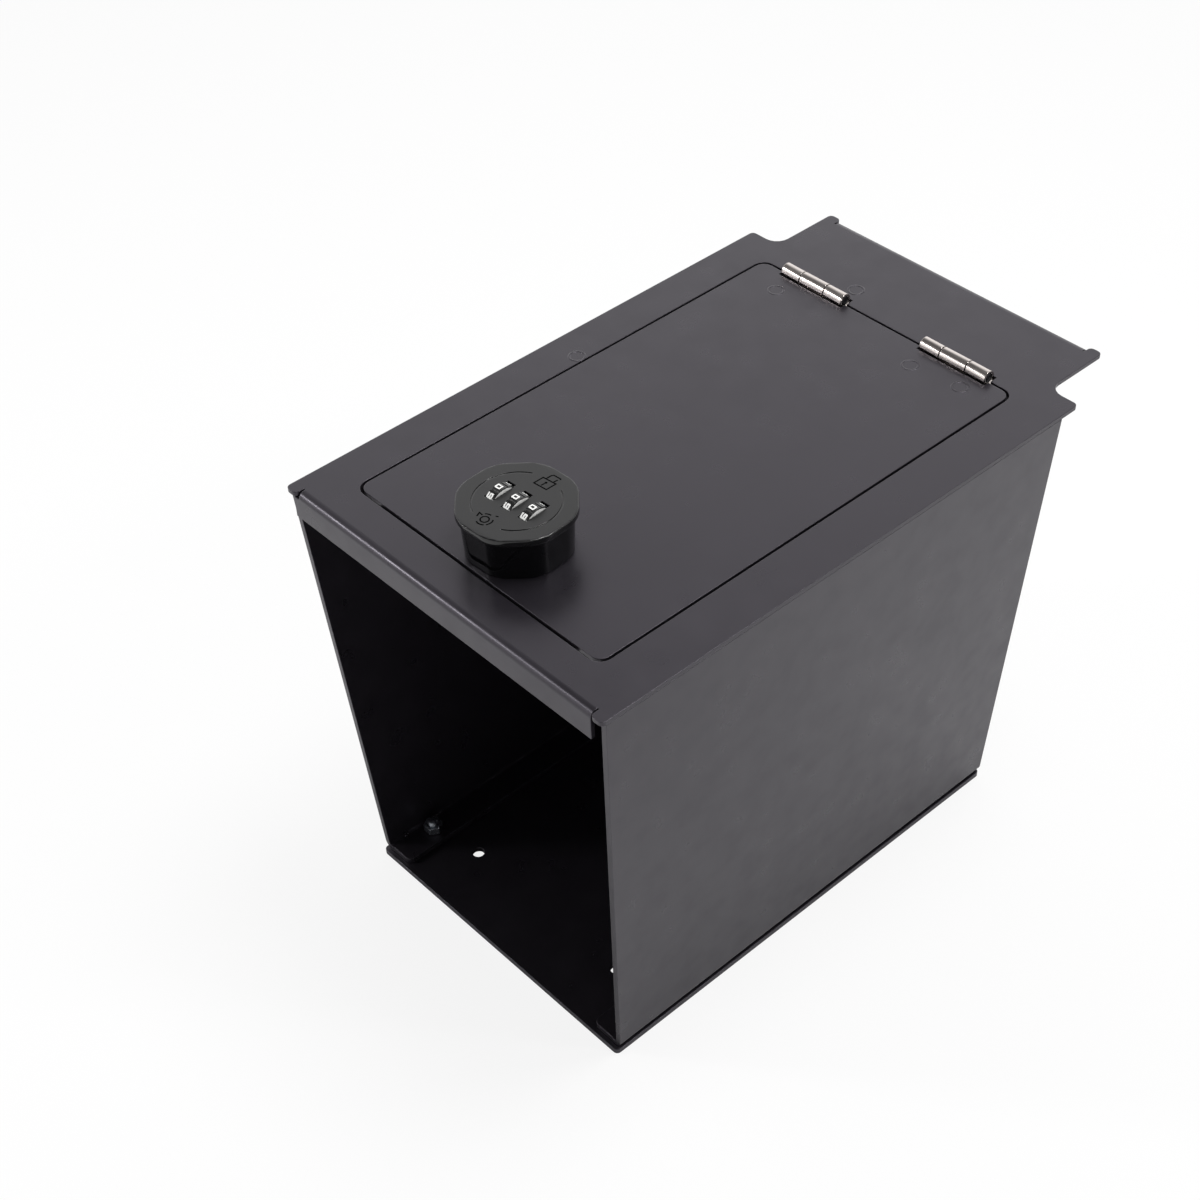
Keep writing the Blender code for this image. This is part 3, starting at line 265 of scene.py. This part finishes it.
def moulded_wheel(settings, name, joint, half_width, disc_radius):
    """Moulded white ABS whose rim was dipped in black: white on the disc's sides, black where the digits are."""
    material, tree = new_tree(name)
    place = add(tree, "ShaderNodeTexCoord").outputs["Object"]
    axis = Vector(joint["axis"]).normalized()
    offset = add(tree, "ShaderNodeVectorMath", {0: place, 1: joint["pos_m"]}, operation="SUBTRACT").outputs[0]
    along = add(tree, "ShaderNodeVectorMath", {0: offset, 1: axis}, operation="DOT_PRODUCT").outputs["Value"]
    side = add(tree, "ShaderNodeMath", {0: along}, operation="ABSOLUTE").outputs[0]
    across = add(tree, "ShaderNodeVectorMath", {0: offset, 1: axis}, operation="CROSS_PRODUCT").outputs[0]
    radius = add(tree, "ShaderNodeVectorMath", {0: across}, operation="LENGTH").outputs["Value"]
    step = {"From Min": 0.0, "From Max": 0.00005}
    past_side = add(tree, "ShaderNodeMath", {0: side, 1: half_width - 0.0001}, operation="SUBTRACT").outputs[0]
    in_disc = add(tree, "ShaderNodeMath", {0: disc_radius, 1: radius}, operation="SUBTRACT").outputs[0]
    on_side = add(tree, "ShaderNodeMapRange", {"Value": past_side, **step}).outputs[0]
    inside = add(tree, "ShaderNodeMapRange", {"Value": in_disc, **step}).outputs[0]
    white = add(tree, "ShaderNodeMath", {0: on_side, 1: inside}, operation="MULTIPLY").outputs[0]
    specks = patch(tree, place, 0.0006, 2.0)
    plain = blend_colours(tree, specks, colour(settings.digit), colour([c * 0.93 for c in settings.digit]))
    tone = blend_colours(tree, white, colour(settings.rim), plain)
    bump = add(tree, "ShaderNodeBump", {"Strength": 1.0, "Distance": 0.000004, "Height": specks})
    surface = add(
        tree,
        "ShaderNodeBsdfPrincipled",
        {
            "Base Color": tone,
            "Roughness": between(tree, specks, 0.22, 0.32),
            "IOR": 1.53,
            "Normal": bump.outputs[0],
        },
    )
    return finished(material, tree, surface)


def printed_ink(name, values, roughness, shine=0.5):
    """Pad-printed ink: a thin matt film, a little uneven where the pad lifted."""
    material, tree = new_tree(name)
    place = add(tree, "ShaderNodeTexCoord").outputs["Object"]
    film = patch(tree, place, 0.0005, 3.0)
    tone = blend_colours(tree, film, colour(values), colour([c * 0.94 for c in values]))
    bump = add(tree, "ShaderNodeBump", {"Strength": 1.0, "Distance": 0.000004, "Height": film})
    surface = add(
        tree,
        "ShaderNodeBsdfPrincipled",
        {
            "Base Color": tone,
            "Roughness": between(tree, film, roughness, roughness + 0.1),
            "IOR": 1.5,
            "Specular IOR Level": shine,
            "Normal": bump.outputs[0],
        },
    )
    return finished(material, tree, surface)


# ---------------------------------------------------------------- mesh tools


def finish_cad(nodes, material):
    """Puts the material on CAD nodes, and shades their round faces smooth up to their sharp edges."""
    for name in nodes:
        if name not in frame["nodes"]:
            raise RuntimeError(f"the frame has no node {name}")
        obj = frame["nodes"][name]
        obj.data.materials.clear()
        obj.data.materials.append(material)
        normals = obj.data.attributes.get("custom_normal")
        if normals:
            obj.data.attributes.remove(normals)
        obj.data.polygons.foreach_set("use_smooth", [True] * len(obj.data.polygons))
        weld = obj.modifiers.new("weld", "WELD")
        weld.merge_threshold = 0.00001
        split = obj.modifiers.new("sharp edges", "EDGE_SPLIT")
        split.split_angle = math.radians(32)
        level = obj.modifiers.new("flat faces stay flat", "WEIGHTED_NORMAL")
        level.mode = "FACE_AREA"
        level.weight = 100


def piece(name, mesh, body, material, smooth=math.radians(32)):
    """Makes an object from a bmesh, shaded smooth up to its sharp edges, that rides on a body."""
    bmesh.ops.recalc_face_normals(mesh, faces=mesh.faces)
    data = bpy.data.meshes.new(name)
    mesh.to_mesh(data)
    mesh.free()
    data.polygons.foreach_set("use_smooth", [True] * len(data.polygons))
    data.set_sharp_from_angle(angle=smooth)
    data.materials.append(material)
    obj = bpy.data.objects.new(name, data)
    bpy.context.scene.collection.objects.link(obj)
    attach(obj, body)
    return obj


def frame_of(joint_name):
    """The place and turn of the knob's own axes, whose x runs along the dials' axle."""
    along = Vector(JOINTS["dial_2_turn"]["axis"]).normalized()
    up = Vector((0, 0, 1))
    turn = Matrix((along, up.cross(along), up)).transposed().to_4x4()
    return Matrix.Translation(JOINTS[joint_name]["pos_m"]) @ turn


def join_rings(mesh, rings, closed=False, capped=True):
    """Faces between rings of points, each ring closed round; the ends are capped unless the rings close up."""
    made = [[mesh.verts.new(point) for point in ring] for ring in rings]
    pairs = list(zip(made, made[1:])) + ([(made[-1], made[0])] if closed else [])
    for first, second in pairs:
        for index in range(len(first)):
            after = (index + 1) % len(first)
            mesh.faces.new((first[index], first[after], second[after], second[index]))
    if capped and not closed:
        mesh.faces.new(made[0][::-1])
        mesh.faces.new(made[-1])
    return made


def ring_at(centre, height, radius_at, steps):
    """A level ring of points about centre, its radius from the angle."""
    angles = [2 * math.pi * step / steps for step in range(steps)]
    return [
        (centre[0] + radius_at(angle) * math.cos(angle), centre[1] + radius_at(angle) * math.sin(angle), height)
        for angle in angles
    ]


def screw_radius(crest, depth, pitch, height, angle):
    """How far a screw thread's flank stands from its axis at that height and angle."""
    turn = (height / pitch - angle / (2 * math.pi)) % 1.0
    return crest - depth * min(1.0, max(0.0, 1.25 * abs(2 * turn - 1) - 0.125))


def strip(mesh, points, width, low, high, closed=False):
    """A flat ribbon along points in the plane, mitred at its corners, from low to high."""
    points = [Vector(point) for point in points]
    count = len(points)
    rings = []
    for index, point in enumerate(points):
        before = points[index - 1] if closed or index else None
        after = points[(index + 1) % count] if closed or index < count - 1 else None
        steps = [(b - a).normalized() for a, b in ((before, point), (point, after)) if a is not None and b is not None]
        heading = sum(steps, Vector((0, 0))).normalized()
        side = Vector((-heading.y, heading.x))
        straight = Vector((-steps[0].y, steps[0].x))
        side *= width / 2 / max(0.4, side.dot(straight))
        left, right = point + side, point - side
        rings.append([(*left, low), (*left, high), (*right, high), (*right, low)])
    join_rings(mesh, rings, closed)


def arc(centre, radius, start, end, steps):
    """Points on an arc in the plane, its angles in degrees."""
    angles = [math.radians(start + (end - start) * step / steps) for step in range(steps + 1)]
    return [(centre[0] + radius * math.cos(angle), centre[1] + radius * math.sin(angle)) for angle in angles]


# ---------------------------------------------------------------- settings


class LockBoxCoat(bpy.types.PropertyGroup):
    """The powder-coated sheet metal"""

    coat: FloatVectorProperty(name="Coat", description="Colour of the powder coat", subtype="COLOR", default=linear("#1a181c"))
    # Edge: the lighter grey painted along the sheared edges, a painted edge highlight.
    edge: FloatVectorProperty(
        name="Edge", description="Colour where the coat is thin on an edge", subtype="COLOR", default=linear("#77767a")
    )
    peel_size: FloatProperty(
        name="Peel size", description="Width of the orange peel's bumps", unit="LENGTH", default=0.9 * MM, precision=5
    )
    peel_height: FloatProperty(
        name="Peel height", description="Height of the orange peel's bumps", unit="LENGTH", default=0.006 * MM, precision=6
    )
    edge_radius: FloatProperty(
        name="Edge radius", description="Rounding that the coat gives a sheared edge", unit="LENGTH", default=0.4 * MM, precision=5
    )
    weld_ring: FloatProperty(
        name="Weld mark", description="Width over a spot weld's ring", unit="LENGTH", default=8.5 * MM, precision=5
    )


class LockBoxHardware(bpy.types.PropertyGroup):
    """Hinges, studs, nuts and the parts under the lock"""

    nickel: FloatVectorProperty(name="Nickel", description="Colour of the hinges", subtype="COLOR", default=linear("#cfc7c3"))
    # Pins: a dark colour that paints the shade in the seams between the knuckles.
    pin: FloatVectorProperty(name="Pins", description="Colour of the hinges' pins", subtype="COLOR", default=linear("#3c3b3d"))
    zinc: FloatVectorProperty(
        name="Zinc", description="Colour of studs, nuts, washers and cam", subtype="COLOR", default=linear("#b9bfc6")
    )
    brass: FloatVectorProperty(name="Brass", description="Colour of the spindle", subtype="COLOR", default=linear("#c8a45c"))
    stud_pitch: FloatProperty(name="Stud pitch", description="Pitch of the studs' thread", unit="LENGTH", default=0.8 * MM, precision=5)
    shank_pitch: FloatProperty(name="Shank pitch", description="Pitch of the lock's thread", unit="LENGTH", default=1.5 * MM, precision=5)


class LockBoxKnob(bpy.types.PropertyGroup):
    """The octagonal knob"""

    cap: FloatVectorProperty(name="Cap", description="Colour of the satin cap", subtype="COLOR", default=linear("#101011"))
    skirt: FloatVectorProperty(name="Skirt", description="Colour of the gloss skirt", subtype="COLOR", default=linear("#050506"))
    ink: FloatVectorProperty(name="Marks", description="Colour of the two printed marks", subtype="COLOR", default=linear("#020202"))
    line: FloatProperty(name="Line", description="Width of the marks' lines", unit="LENGTH", default=0.6 * MM, precision=5)


class LockBoxDials(bpy.types.PropertyGroup):
    """The three dials and their digits"""

    digit: FloatVectorProperty(name="Digits", description="Colour of digits and discs", subtype="COLOR", default=linear("#f0f0ee"))
    rim: FloatVectorProperty(name="Rim", description="Colour of the dials' rims", subtype="COLOR", default=linear("#0a0a0b"))
    width: FloatProperty(name="Width", description="Width of a digit", unit="LENGTH", default=2.45 * MM, precision=5)
    height: FloatProperty(name="Height", description="Height of a digit", unit="LENGTH", default=2.85 * MM, precision=5)
    stroke: FloatProperty(name="Stroke", description="Width of a digit's stroke", unit="LENGTH", default=0.66 * MM, precision=5)
    shift: FloatProperty(name="Shift", description="Digits' place along the axle", unit="LENGTH", default=-0.42 * MM, precision=5)
    disc: FloatProperty(name="Disc", description="Radius of the white disc", unit="LENGTH", default=7.8 * MM, precision=5)


class LockBoxStudio(bpy.types.PropertyGroup):
    """Floor, light and camera"""

    floor: FloatVectorProperty(name="Floor", description="Colour of the floor", subtype="COLOR", default=linear("#fafafa"))
    floor_size: FloatProperty(name="Floor size", description="Side of the floor", unit="LENGTH", default=6.0)
    walls: FloatProperty(name="Walls", description="Light of the room's white walls", default=1.4)
    ceiling: FloatProperty(name="Ceiling", description="Light of the room's dark ceiling", default=0.12)
    key: FloatProperty(name="Key", description="Power of the lamp at the front left", subtype="POWER", unit="POWER", default=4.5)
    side: FloatProperty(name="Side", description="Power of the lamp at the right", subtype="POWER", unit="POWER", default=3.0)
    top: FloatProperty(name="Top", description="Power of the wide lamp overhead", subtype="POWER", unit="POWER", default=13.0)
    lens: FloatProperty(name="Lens", description="Focal length of the camera", unit="CAMERA", default=63.917)


SETTINGS = {
    "lock_box_coat": LockBoxCoat,
    "lock_box_hardware": LockBoxHardware,
    "lock_box_knob": LockBoxKnob,
    "lock_box_dials": LockBoxDials,
    "lock_box_studio": LockBoxStudio,
}


# ---------------------------------------------------------------- pieces


SHEETS = ["top_frame", "left_wall", "right_wall", "back_wall", "bottom_plate", "lid_rest_strip", "lid_panel"]
SPOT_WELDS = {
    "box": [(-0.0789, -0.0083), (-0.0282, 0.1142)],
    "lid": [(-0.0535, 0.0890), (0.0270, 0.0881), (0.0523, 0.0911)],
}


class LOCKBOX_OT_sheet_metal(bpy.types.Operator):
    """Powder coats the folded sheets, and adds the rings that spot welds leave in their tops"""

    bl_idname = "lock_box.sheet_metal"
    bl_label = "Sheet metal"

    def execute(self, context):
        settings = context.scene.lock_box_coat
        material = powder_coat(settings)
        finish_cad(SHEETS, material)
        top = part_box("lid_panel")[1].z
        outer = settings.weld_ring / 2
        profile = [(outer, -0.05), (0.94 * outer, 0.03), (0.84 * outer, 0.07), (0.72 * outer, 0.04), (0.66 * outer, -0.05)]
        for body, places in SPOT_WELDS.items():
            mesh = bmesh.new()
            for x, y in places:
                rings = [ring_at((x, y), top + height * MM, lambda angle, radius=radius: radius, 40) for radius, height in profile]
                join_rings(mesh, rings, closed=True)
            piece(f"spot_weld_rings_{body}", mesh, body, material, math.radians(60))
        return {"FINISHED"}


HINGES = [
    "frame_hinge_leaf_left",
    "frame_hinge_leaf_right",
    "lid_hinge_leaf_left",
    "lid_hinge_leaf_right",
]
PINS = ["hinge_pin_left", "hinge_pin_right"]
CORNERS = ["front_left", "front_right", "rear_left", "rear_right"]


class LOCKBOX_OT_hinges(bpy.types.Operator):
    """Nickel plates the hinges' leaves and knuckles, and colours their pins dark as painted shade in the knuckles'
    seams
    """

    bl_idname = "lock_box.hinges"
    bl_label = "Hinges"

    def execute(self, context):
        settings = context.scene.lock_box_hardware
        finish_cad(HINGES, nickel(settings))
        # The pins are coloured dark: painted shade in the seams between the knuckles.
        finish_cad(PINS, seam_shade_pin_steel(settings))
        return {"FINISHED"}


class LOCKBOX_OT_fasteners(bpy.types.Operator):
    """Cuts real threads on the four studs and zinc plates them and their nuts"""

    bl_idname = "lock_box.fasteners"
    bl_label = "Studs and nuts"

    def execute(self, context):
        settings = context.scene.lock_box_hardware
        material = zinc(settings)
        finish_cad([f"flange_nut_{corner}" for corner in CORNERS], material)
        crest, depth, steps = 2.5 * MM, 0.45 * MM, 24
        for corner in CORNERS:
            name = f"flange_stud_{corner}"
            low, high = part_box(name)
            centre = (low + high) / 2
            head = (high.x - low.x) / 2
            neck = low.z + 1.0 * MM
            mesh = bmesh.new()
            plain = [(head - 0.3 * MM, low.z), (head, low.z + 0.3 * MM), (head, neck - 0.2 * MM), (head - 0.2 * MM, neck)]
            rings = [ring_at(centre, height, lambda angle, radius=radius: radius, steps) for radius, height in plain]
            rows = round((high.z - neck) / settings.stud_pitch * 7)
            for row in range(rows + 1):
                height = neck + (high.z - neck) * row / rows
                limit = crest - max(0.0, 0.55 * MM - (high.z - height))

                def radius_at(angle, height=height, limit=limit):
                    return min(limit, screw_radius(crest, depth, settings.stud_pitch, height, angle))

                rings.append(ring_at(centre, height, radius_at, steps))
            join_rings(mesh, rings)
            stud = piece(f"threaded_stud_{corner}", mesh, "box", material, math.radians(50))
            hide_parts(name)
        return {"FINISHED"}


class LOCKBOX_OT_lock_parts(bpy.types.Operator):
    """Finishes what holds the lock in the lid and works the cam, and cuts the thread on its shank"""

    bl_idname = "lock_box.lock_parts"
    bl_label = "Lock parts"

    def execute(self, context):
        settings = context.scene.lock_box_hardware
        material = zinc(settings)
        finish_cad(["lock_washer", "lock_nut", "cam", "cam_washer", "cam_screw", "knob_screw_1", "knob_screw_2"], material)
        finish_cad(["lock_spindle", "dial_axle"], brass(settings))
        low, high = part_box("lock_housing")
        centre = (low + high) / 2
        flange = (high.x - low.x) / 2
        shank, flat, bore, rib = 9.3 * MM, 8.25 * MM, 5.3 * MM, 1.2 * MM
        under = high.z - rib
        steps = 72

        def even(radius):
            return lambda angle: radius

        rings = [
            ring_at(centre, low.z, even(bore), steps),
            ring_at(centre, high.z, even(bore), steps),
            ring_at(centre, high.z, even(flange - 0.3 * MM), steps),
            ring_at(centre, high.z - 0.3 * MM, even(flange), steps),
            ring_at(centre, under, even(flange), steps),
        ]
        rows = round((under - low.z) / settings.shank_pitch * 7)
        for row in range(rows + 1):
            height = under - (under - low.z) * row / rows
            limit = shank - max(0.0, 0.5 * MM - (height - low.z))

            def radius_at(angle, height=height, limit=limit):
                to_flat = flat / max(abs(math.cos(angle)), 0.5)
                return min(limit, to_flat, screw_radius(shank, 0.6 * MM, settings.shank_pitch, height, angle))

            rings.append(ring_at(centre, height, radius_at, steps))
        mesh = bmesh.new()
        join_rings(mesh, rings, closed=True)
        housing = piece("threaded_lock_housing", mesh, "lid", material, math.radians(40))
        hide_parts("lock_housing")
        return {"FINISHED"}


# Lines of the two marks on the cap, in millimetres from the lock's centre, each with whether it closes:
# a padlock at the rear, and in front a ring inside a broken circle with a pointer.
RING_CENTRE = (-1.1, -15.9)
MARK_LINES = [
    ([(-3.1, 12.2), (3.5, 12.5), (3.8, 17.4), (-2.8, 17.0)], True),
    ([(-1.4, 17.45), (-1.2, 19.9), (-0.6, 20.7), (2.9, 20.8), (3.4, 20.4)], False),
    ([(2.3, 17.7), (2.6, 19.6)], False),
    ([(0.05, 13.0), (0.28, 14.7)], False),
    (arc(RING_CENTRE, 1.75, 0, 345, 23), True),
    (arc(RING_CENTRE, 3.3, 88, 135, 6), False),
    (arc(RING_CENTRE, 3.3, -120, -50, 8), False),
    (arc(RING_CENTRE, 3.3, -36, 35, 8), False),
    ([(-4.8, -16.6), (-5.6, -14.4), (-3.7, -14.7)], False),
    ([(0.7, -11.8), (1.7, -11.3)], False),
]
KEYHOLE = (0.37, 15.4)


class LOCKBOX_OT_knob(bpy.types.Operator):
    """Enamels the knob's skirt and cap, and prints the padlock and the ring on the cap"""

    bl_idname = "lock_box.knob"
    bl_label = "Knob"

    def execute(self, context):
        settings = context.scene.lock_box_knob
        finish_cad(["knob_body"], gloss_enamel(settings))
        finish_cad(["knob_cap"], satin_enamel(settings))
        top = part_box("knob_cap")[1].z
        turn = frame_of("lock_turn")
        turn.translation.z = 0
        mesh = bmesh.new()
        low, high, line = top - 0.06 * MM, top + 0.025 * MM, settings.line
        for points, closed in MARK_LINES:
            strip(mesh, [(x * MM, y * MM) for x, y in points], line, low, high, closed)
        keyhole = [place * MM for place in KEYHOLE]
        join_rings(mesh, [ring_at(keyhole, height, lambda angle: 0.6 * MM, 12) for height in (low, high)])
        mesh.transform(turn)
        piece("padlock_marks", mesh, "knob", printed_ink("printed_black_ink", settings.ink, 0.7, 0.02))
        return {"FINISHED"}


# Each digit fills squares of a grid of three columns and five rows, top row first.
DIGIT_SQUARES = {
    0: ("###", "# #", "# #", "# #", "###"),
    1: (" # ", " # ", " # ", " # ", " # "),
    2: ("###", "  #", "###", "#  ", "###"),
    3: ("###", "  #", " ##", "  #", "###"),
    4: ("# #", "# #", "###", "  #", "  #"),
    5: ("###", "#  ", "###", "  #", "###"),
    6: ("###", "#  ", "###", "# #", "###"),
    7: ("###", "  #", "  #", "  #", "  #"),
    8: ("###", "# #", "###", "# #", "###"),
    9: ("###", "# #", "###", "  #", "###"),
}


def add_digit(mesh, digit, settings, radius, angle):
    """One digit as a thin closed solid, bent round the dial's rim at that angle from its top.
    It is read from the left, so its head points along the axle."""
    stroke = settings.stroke
    gaps = (settings.width - 2 * stroke, (settings.height - 3 * stroke) / 2)
    widths = [stroke, gaps[0], stroke] if digit != 1 else [stroke, stroke, stroke]
    heights = [stroke, gaps[1], stroke, gaps[1], stroke]
    lefts = [sum(widths[:index]) - sum(widths) / 2 for index in range(4)]
    tops = [sum(heights) / 2 - sum(heights[:index]) for index in range(6)]
    glyph = bmesh.new()
    corners = {}
    for row, squares in enumerate(DIGIT_SQUARES[digit]):
        for column, mark in enumerate(squares):
            if mark == " ":
                continue
            keys = [(column, row + 1), (column + 1, row + 1), (column + 1, row), (column, row)]
            for key in keys:
                if key not in corners:
                    corners[key] = glyph.verts.new((lefts[key[0]], tops[key[1]], 0))
            glyph.faces.new([corners[key] for key in keys])
    sharp = [vert for vert in glyph.verts if len(vert.link_faces) == 1]
    bmesh.ops.bevel(glyph, geom=sharp, offset=stroke * 0.5, segments=4, profile=0.5, affect="VERTICES")
    raised = bmesh.ops.extrude_face_region(glyph, geom=list(glyph.faces))
    top = [item for item in raised["geom"] if isinstance(item, bmesh.types.BMVert)]
    low, high = radius - 0.12 * MM, radius + 0.03 * MM
    top = set(top)
    for vert in glyph.verts:
        across, along = vert.co.y + settings.shift, -vert.co.x
        reach = high if vert in top else low
        bend = angle + along / radius
        vert.co = Vector((across, reach * math.sin(bend), reach * math.cos(bend)))
    bmesh.ops.recalc_face_normals(glyph, faces=glyph.faces)
    data = bpy.data.meshes.new("digit")
    glyph.to_mesh(data)
    glyph.free()
    mesh.from_mesh(data)
    bpy.data.meshes.remove(data)


class LOCKBOX_OT_dials(bpy.types.Operator):
    """Finishes the three dials, and raises the digits 0 to 9 on each rim"""

    bl_idname = "lock_box.dials"
    bl_label = "Dials"

    def execute(self, context):
        settings = context.scene.lock_box_dials
        ink = printed_ink("printed_white_ink", settings.digit, 0.35)
        for number in (1, 2, 3):
            node = f"dial_wheel_{number}"
            joint = JOINTS[f"dial_{number}_turn"]
            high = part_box(node)[1]
            radius = high.z - joint["pos_m"][2]
            axis = Vector(joint["axis"]).normalized()
            places = [(vert.co - Vector(joint["pos_m"])).dot(axis) for vert in frame["nodes"][node].data.vertices]
            half_width = max(places)
            finish_cad([node], moulded_wheel(settings, f"moulded_abs_wheel_{number}", joint, half_width, settings.disc))
            mesh = bmesh.new()
            for digit in DIGIT_SQUARES:
                add_digit(mesh, digit, settings, radius, 2 * math.pi * digit / len(DIGIT_SQUARES))
            mesh.transform(frame_of(joint["name"]))
            piece(f"dial_digits_{number}", mesh, f"dial_{number}", ink)
        return {"FINISHED"}


# ---------------------------------------------------------------- studio


CAMERA_PLACE = (0.50243, -0.50030, 0.75618)
CAMERA_RIGHT = (0.67688, 0.73549, -0.02977)
CAMERA_UP = (-0.48467, 0.47576, 0.73399)
CAMERA_FORWARD = (-0.55401, 0.48240, -0.67850)
CAMERA_SHIFT = (-0.010969, 0.031852)


def area_lamp(name, place, aim, side, power):
    """A square soft box at a place, facing what it is aimed at."""
    light = bpy.data.lights.new(name, "AREA")
    light.size = side
    light.energy = power
    lamp = bpy.data.objects.new(name, light)
    lamp.location = place
    lamp.rotation_euler = (Vector(aim) - Vector(place)).to_track_quat("-Z", "Y").to_euler()
    bpy.context.scene.collection.objects.link(lamp)
    return lamp


class LOCKBOX_OT_studio(bpy.types.Operator):
    """Sets up the pale floor, the white room, the soft lamps and the camera"""

    bl_idname = "lock_box.studio"
    bl_label = "Studio"

    def execute(self, context):
        settings = context.scene.lock_box_studio
        scene = context.scene
        scene.view_settings.view_transform = "Standard"

        # A matt painted floor: it keeps the shadow, at part of its strength, and is clear from below.
        material, tree = new_tree("matt_painted_floor")
        path = add(tree, "ShaderNodeLightPath")
        paint = add(tree, "ShaderNodeBsdfDiffuse", {"Color": colour(settings.floor)})
        white = add(tree, "ShaderNodeEmission", {"Color": (1, 1, 1, 1), "Strength": 1.0})
        seen = add(tree, "ShaderNodeMath", {0: path.outputs["Is Camera Ray"], 1: 0.85}, operation="MULTIPLY").outputs[0]
        lit = add(tree, "ShaderNodeMixShader", {0: seen, 1: paint.outputs[0], 2: white.outputs[0]})
        clear = add(tree, "ShaderNodeBsdfTransparent")
        below = add(tree, "ShaderNodeNewGeometry").outputs["Backfacing"]
        both = add(tree, "ShaderNodeMixShader", {0: below, 1: lit.outputs[0], 2: clear.outputs[0]})
        finished(material, tree, both)
        mesh = bmesh.new()
        bmesh.ops.create_grid(mesh, x_segments=4, y_segments=4, size=settings.floor_size / 2)
        data = bpy.data.meshes.new("studio_floor")
        mesh.to_mesh(data)
        mesh.free()
        data.materials.append(material)
        floor = bpy.data.objects.new("studio_floor", data)
        floor.location.z = CAD_BOX[0].z - 0.05 * MM
        scene.collection.objects.link(floor)

        # The room has bright white walls under a dark ceiling, which comes lower at the front right,
        # and is plain white to the camera.
        world = bpy.data.worlds.new("white_room")
        world.use_nodes = True
        tree = world.node_tree
        tree.nodes.clear()
        heading = add(tree, "ShaderNodeTexCoord").outputs["Generated"]
        slope = {0: heading, 1: (0.226, -0.197, 1.0)}
        rise = add(tree, "ShaderNodeVectorMath", slope, operation="DOT_PRODUCT").outputs["Value"]
        spread = {"Value": rise, "From Min": 0.25, "From Max": 0.75, "To Min": settings.walls, "To Max": settings.ceiling}
        light = add(tree, "ShaderNodeMapRange", spread, interpolation_type="SMOOTHSTEP").outputs[0]
        seen = add(tree, "ShaderNodeLightPath").outputs["Is Camera Ray"]
        strength = add(tree, "ShaderNodeMix", {0: seen, 2: light, 3: 1.0})
        room = add(tree, "ShaderNodeBackground", {"Color": (1, 1, 1, 1), "Strength": strength.outputs[0]})
        add(tree, "ShaderNodeOutputWorld", {"Surface": room.outputs[0]})
        scene.world = world

        aim = JOINTS["lock_turn"]["pos_m"]
        area_lamp("key_lamp", (-0.90, -0.98, 0.88), aim, 0.18, settings.key)
        area_lamp("side_lamp", (0.99, 0.47, 1.04), aim, 0.18, settings.side)
        area_lamp("top_lamp", (0.20, 0.35, 1.55), aim, 0.6, settings.top)

        data = bpy.data.cameras.new("camera")
        data.lens = settings.lens
        data.sensor_width = 36
        data.sensor_fit = "HORIZONTAL"
        data.shift_x, data.shift_y = CAMERA_SHIFT
        data.clip_start = 0.01
        data.clip_end = 20
        camera = bpy.data.objects.new("camera", data)
        back = -Vector(CAMERA_FORWARD)
        turn = Matrix((CAMERA_RIGHT, CAMERA_UP, back)).transposed()
        camera.matrix_world = Matrix.Translation(CAMERA_PLACE) @ turn.to_4x4()
        scene.collection.objects.link(camera)
        scene.camera = camera
        return {"FINISHED"}


# ---------------------------------------------------------------- panel and start


OPERATORS = [
    LOCKBOX_OT_sheet_metal,
    LOCKBOX_OT_hinges,
    LOCKBOX_OT_fasteners,
    LOCKBOX_OT_lock_parts,
    LOCKBOX_OT_knob,
    LOCKBOX_OT_dials,
    LOCKBOX_OT_studio,
]


class LOCKBOX_PT_panel(bpy.types.Panel):
    """Lists the settings and the steps that dress the lock box"""

    bl_idname = "LOCKBOX_PT_panel"
    bl_label = "Console lock box"
    bl_space_type = "VIEW_3D"
    bl_region_type = "UI"
    bl_category = "Lock box"

    def draw(self, context):
        for name, group in SETTINGS.items():
            box = self.layout.box()
            box.label(text=group.__doc__)
            for setting in group.__annotations__:
                box.prop(getattr(context.scene, name), setting)
        for operator in OPERATORS:
            self.layout.operator(operator.bl_idname)


def register():
    for group in SETTINGS.values():
        bpy.utils.register_class(group)
    for name, group in SETTINGS.items():
        setattr(bpy.types.Scene, name, PointerProperty(type=group))
    for operator in OPERATORS:
        bpy.utils.register_class(operator)
    bpy.utils.register_class(LOCKBOX_PT_panel)


def unregister():
    bpy.utils.unregister_class(LOCKBOX_PT_panel)
    for operator in reversed(OPERATORS):
        bpy.utils.unregister_class(operator)
    for name in SETTINGS:
        delattr(bpy.types.Scene, name)
    for group in reversed(SETTINGS.values()):
        bpy.utils.unregister_class(group)


def main():
    register()
    bpy.ops.lock_box.sheet_metal()
    bpy.ops.lock_box.hinges()
    bpy.ops.lock_box.fasteners()
    bpy.ops.lock_box.lock_parts()
    bpy.ops.lock_box.knob()
    bpy.ops.lock_box.dials()
    bpy.ops.lock_box.studio()


if __name__ == "__main__":
    main()
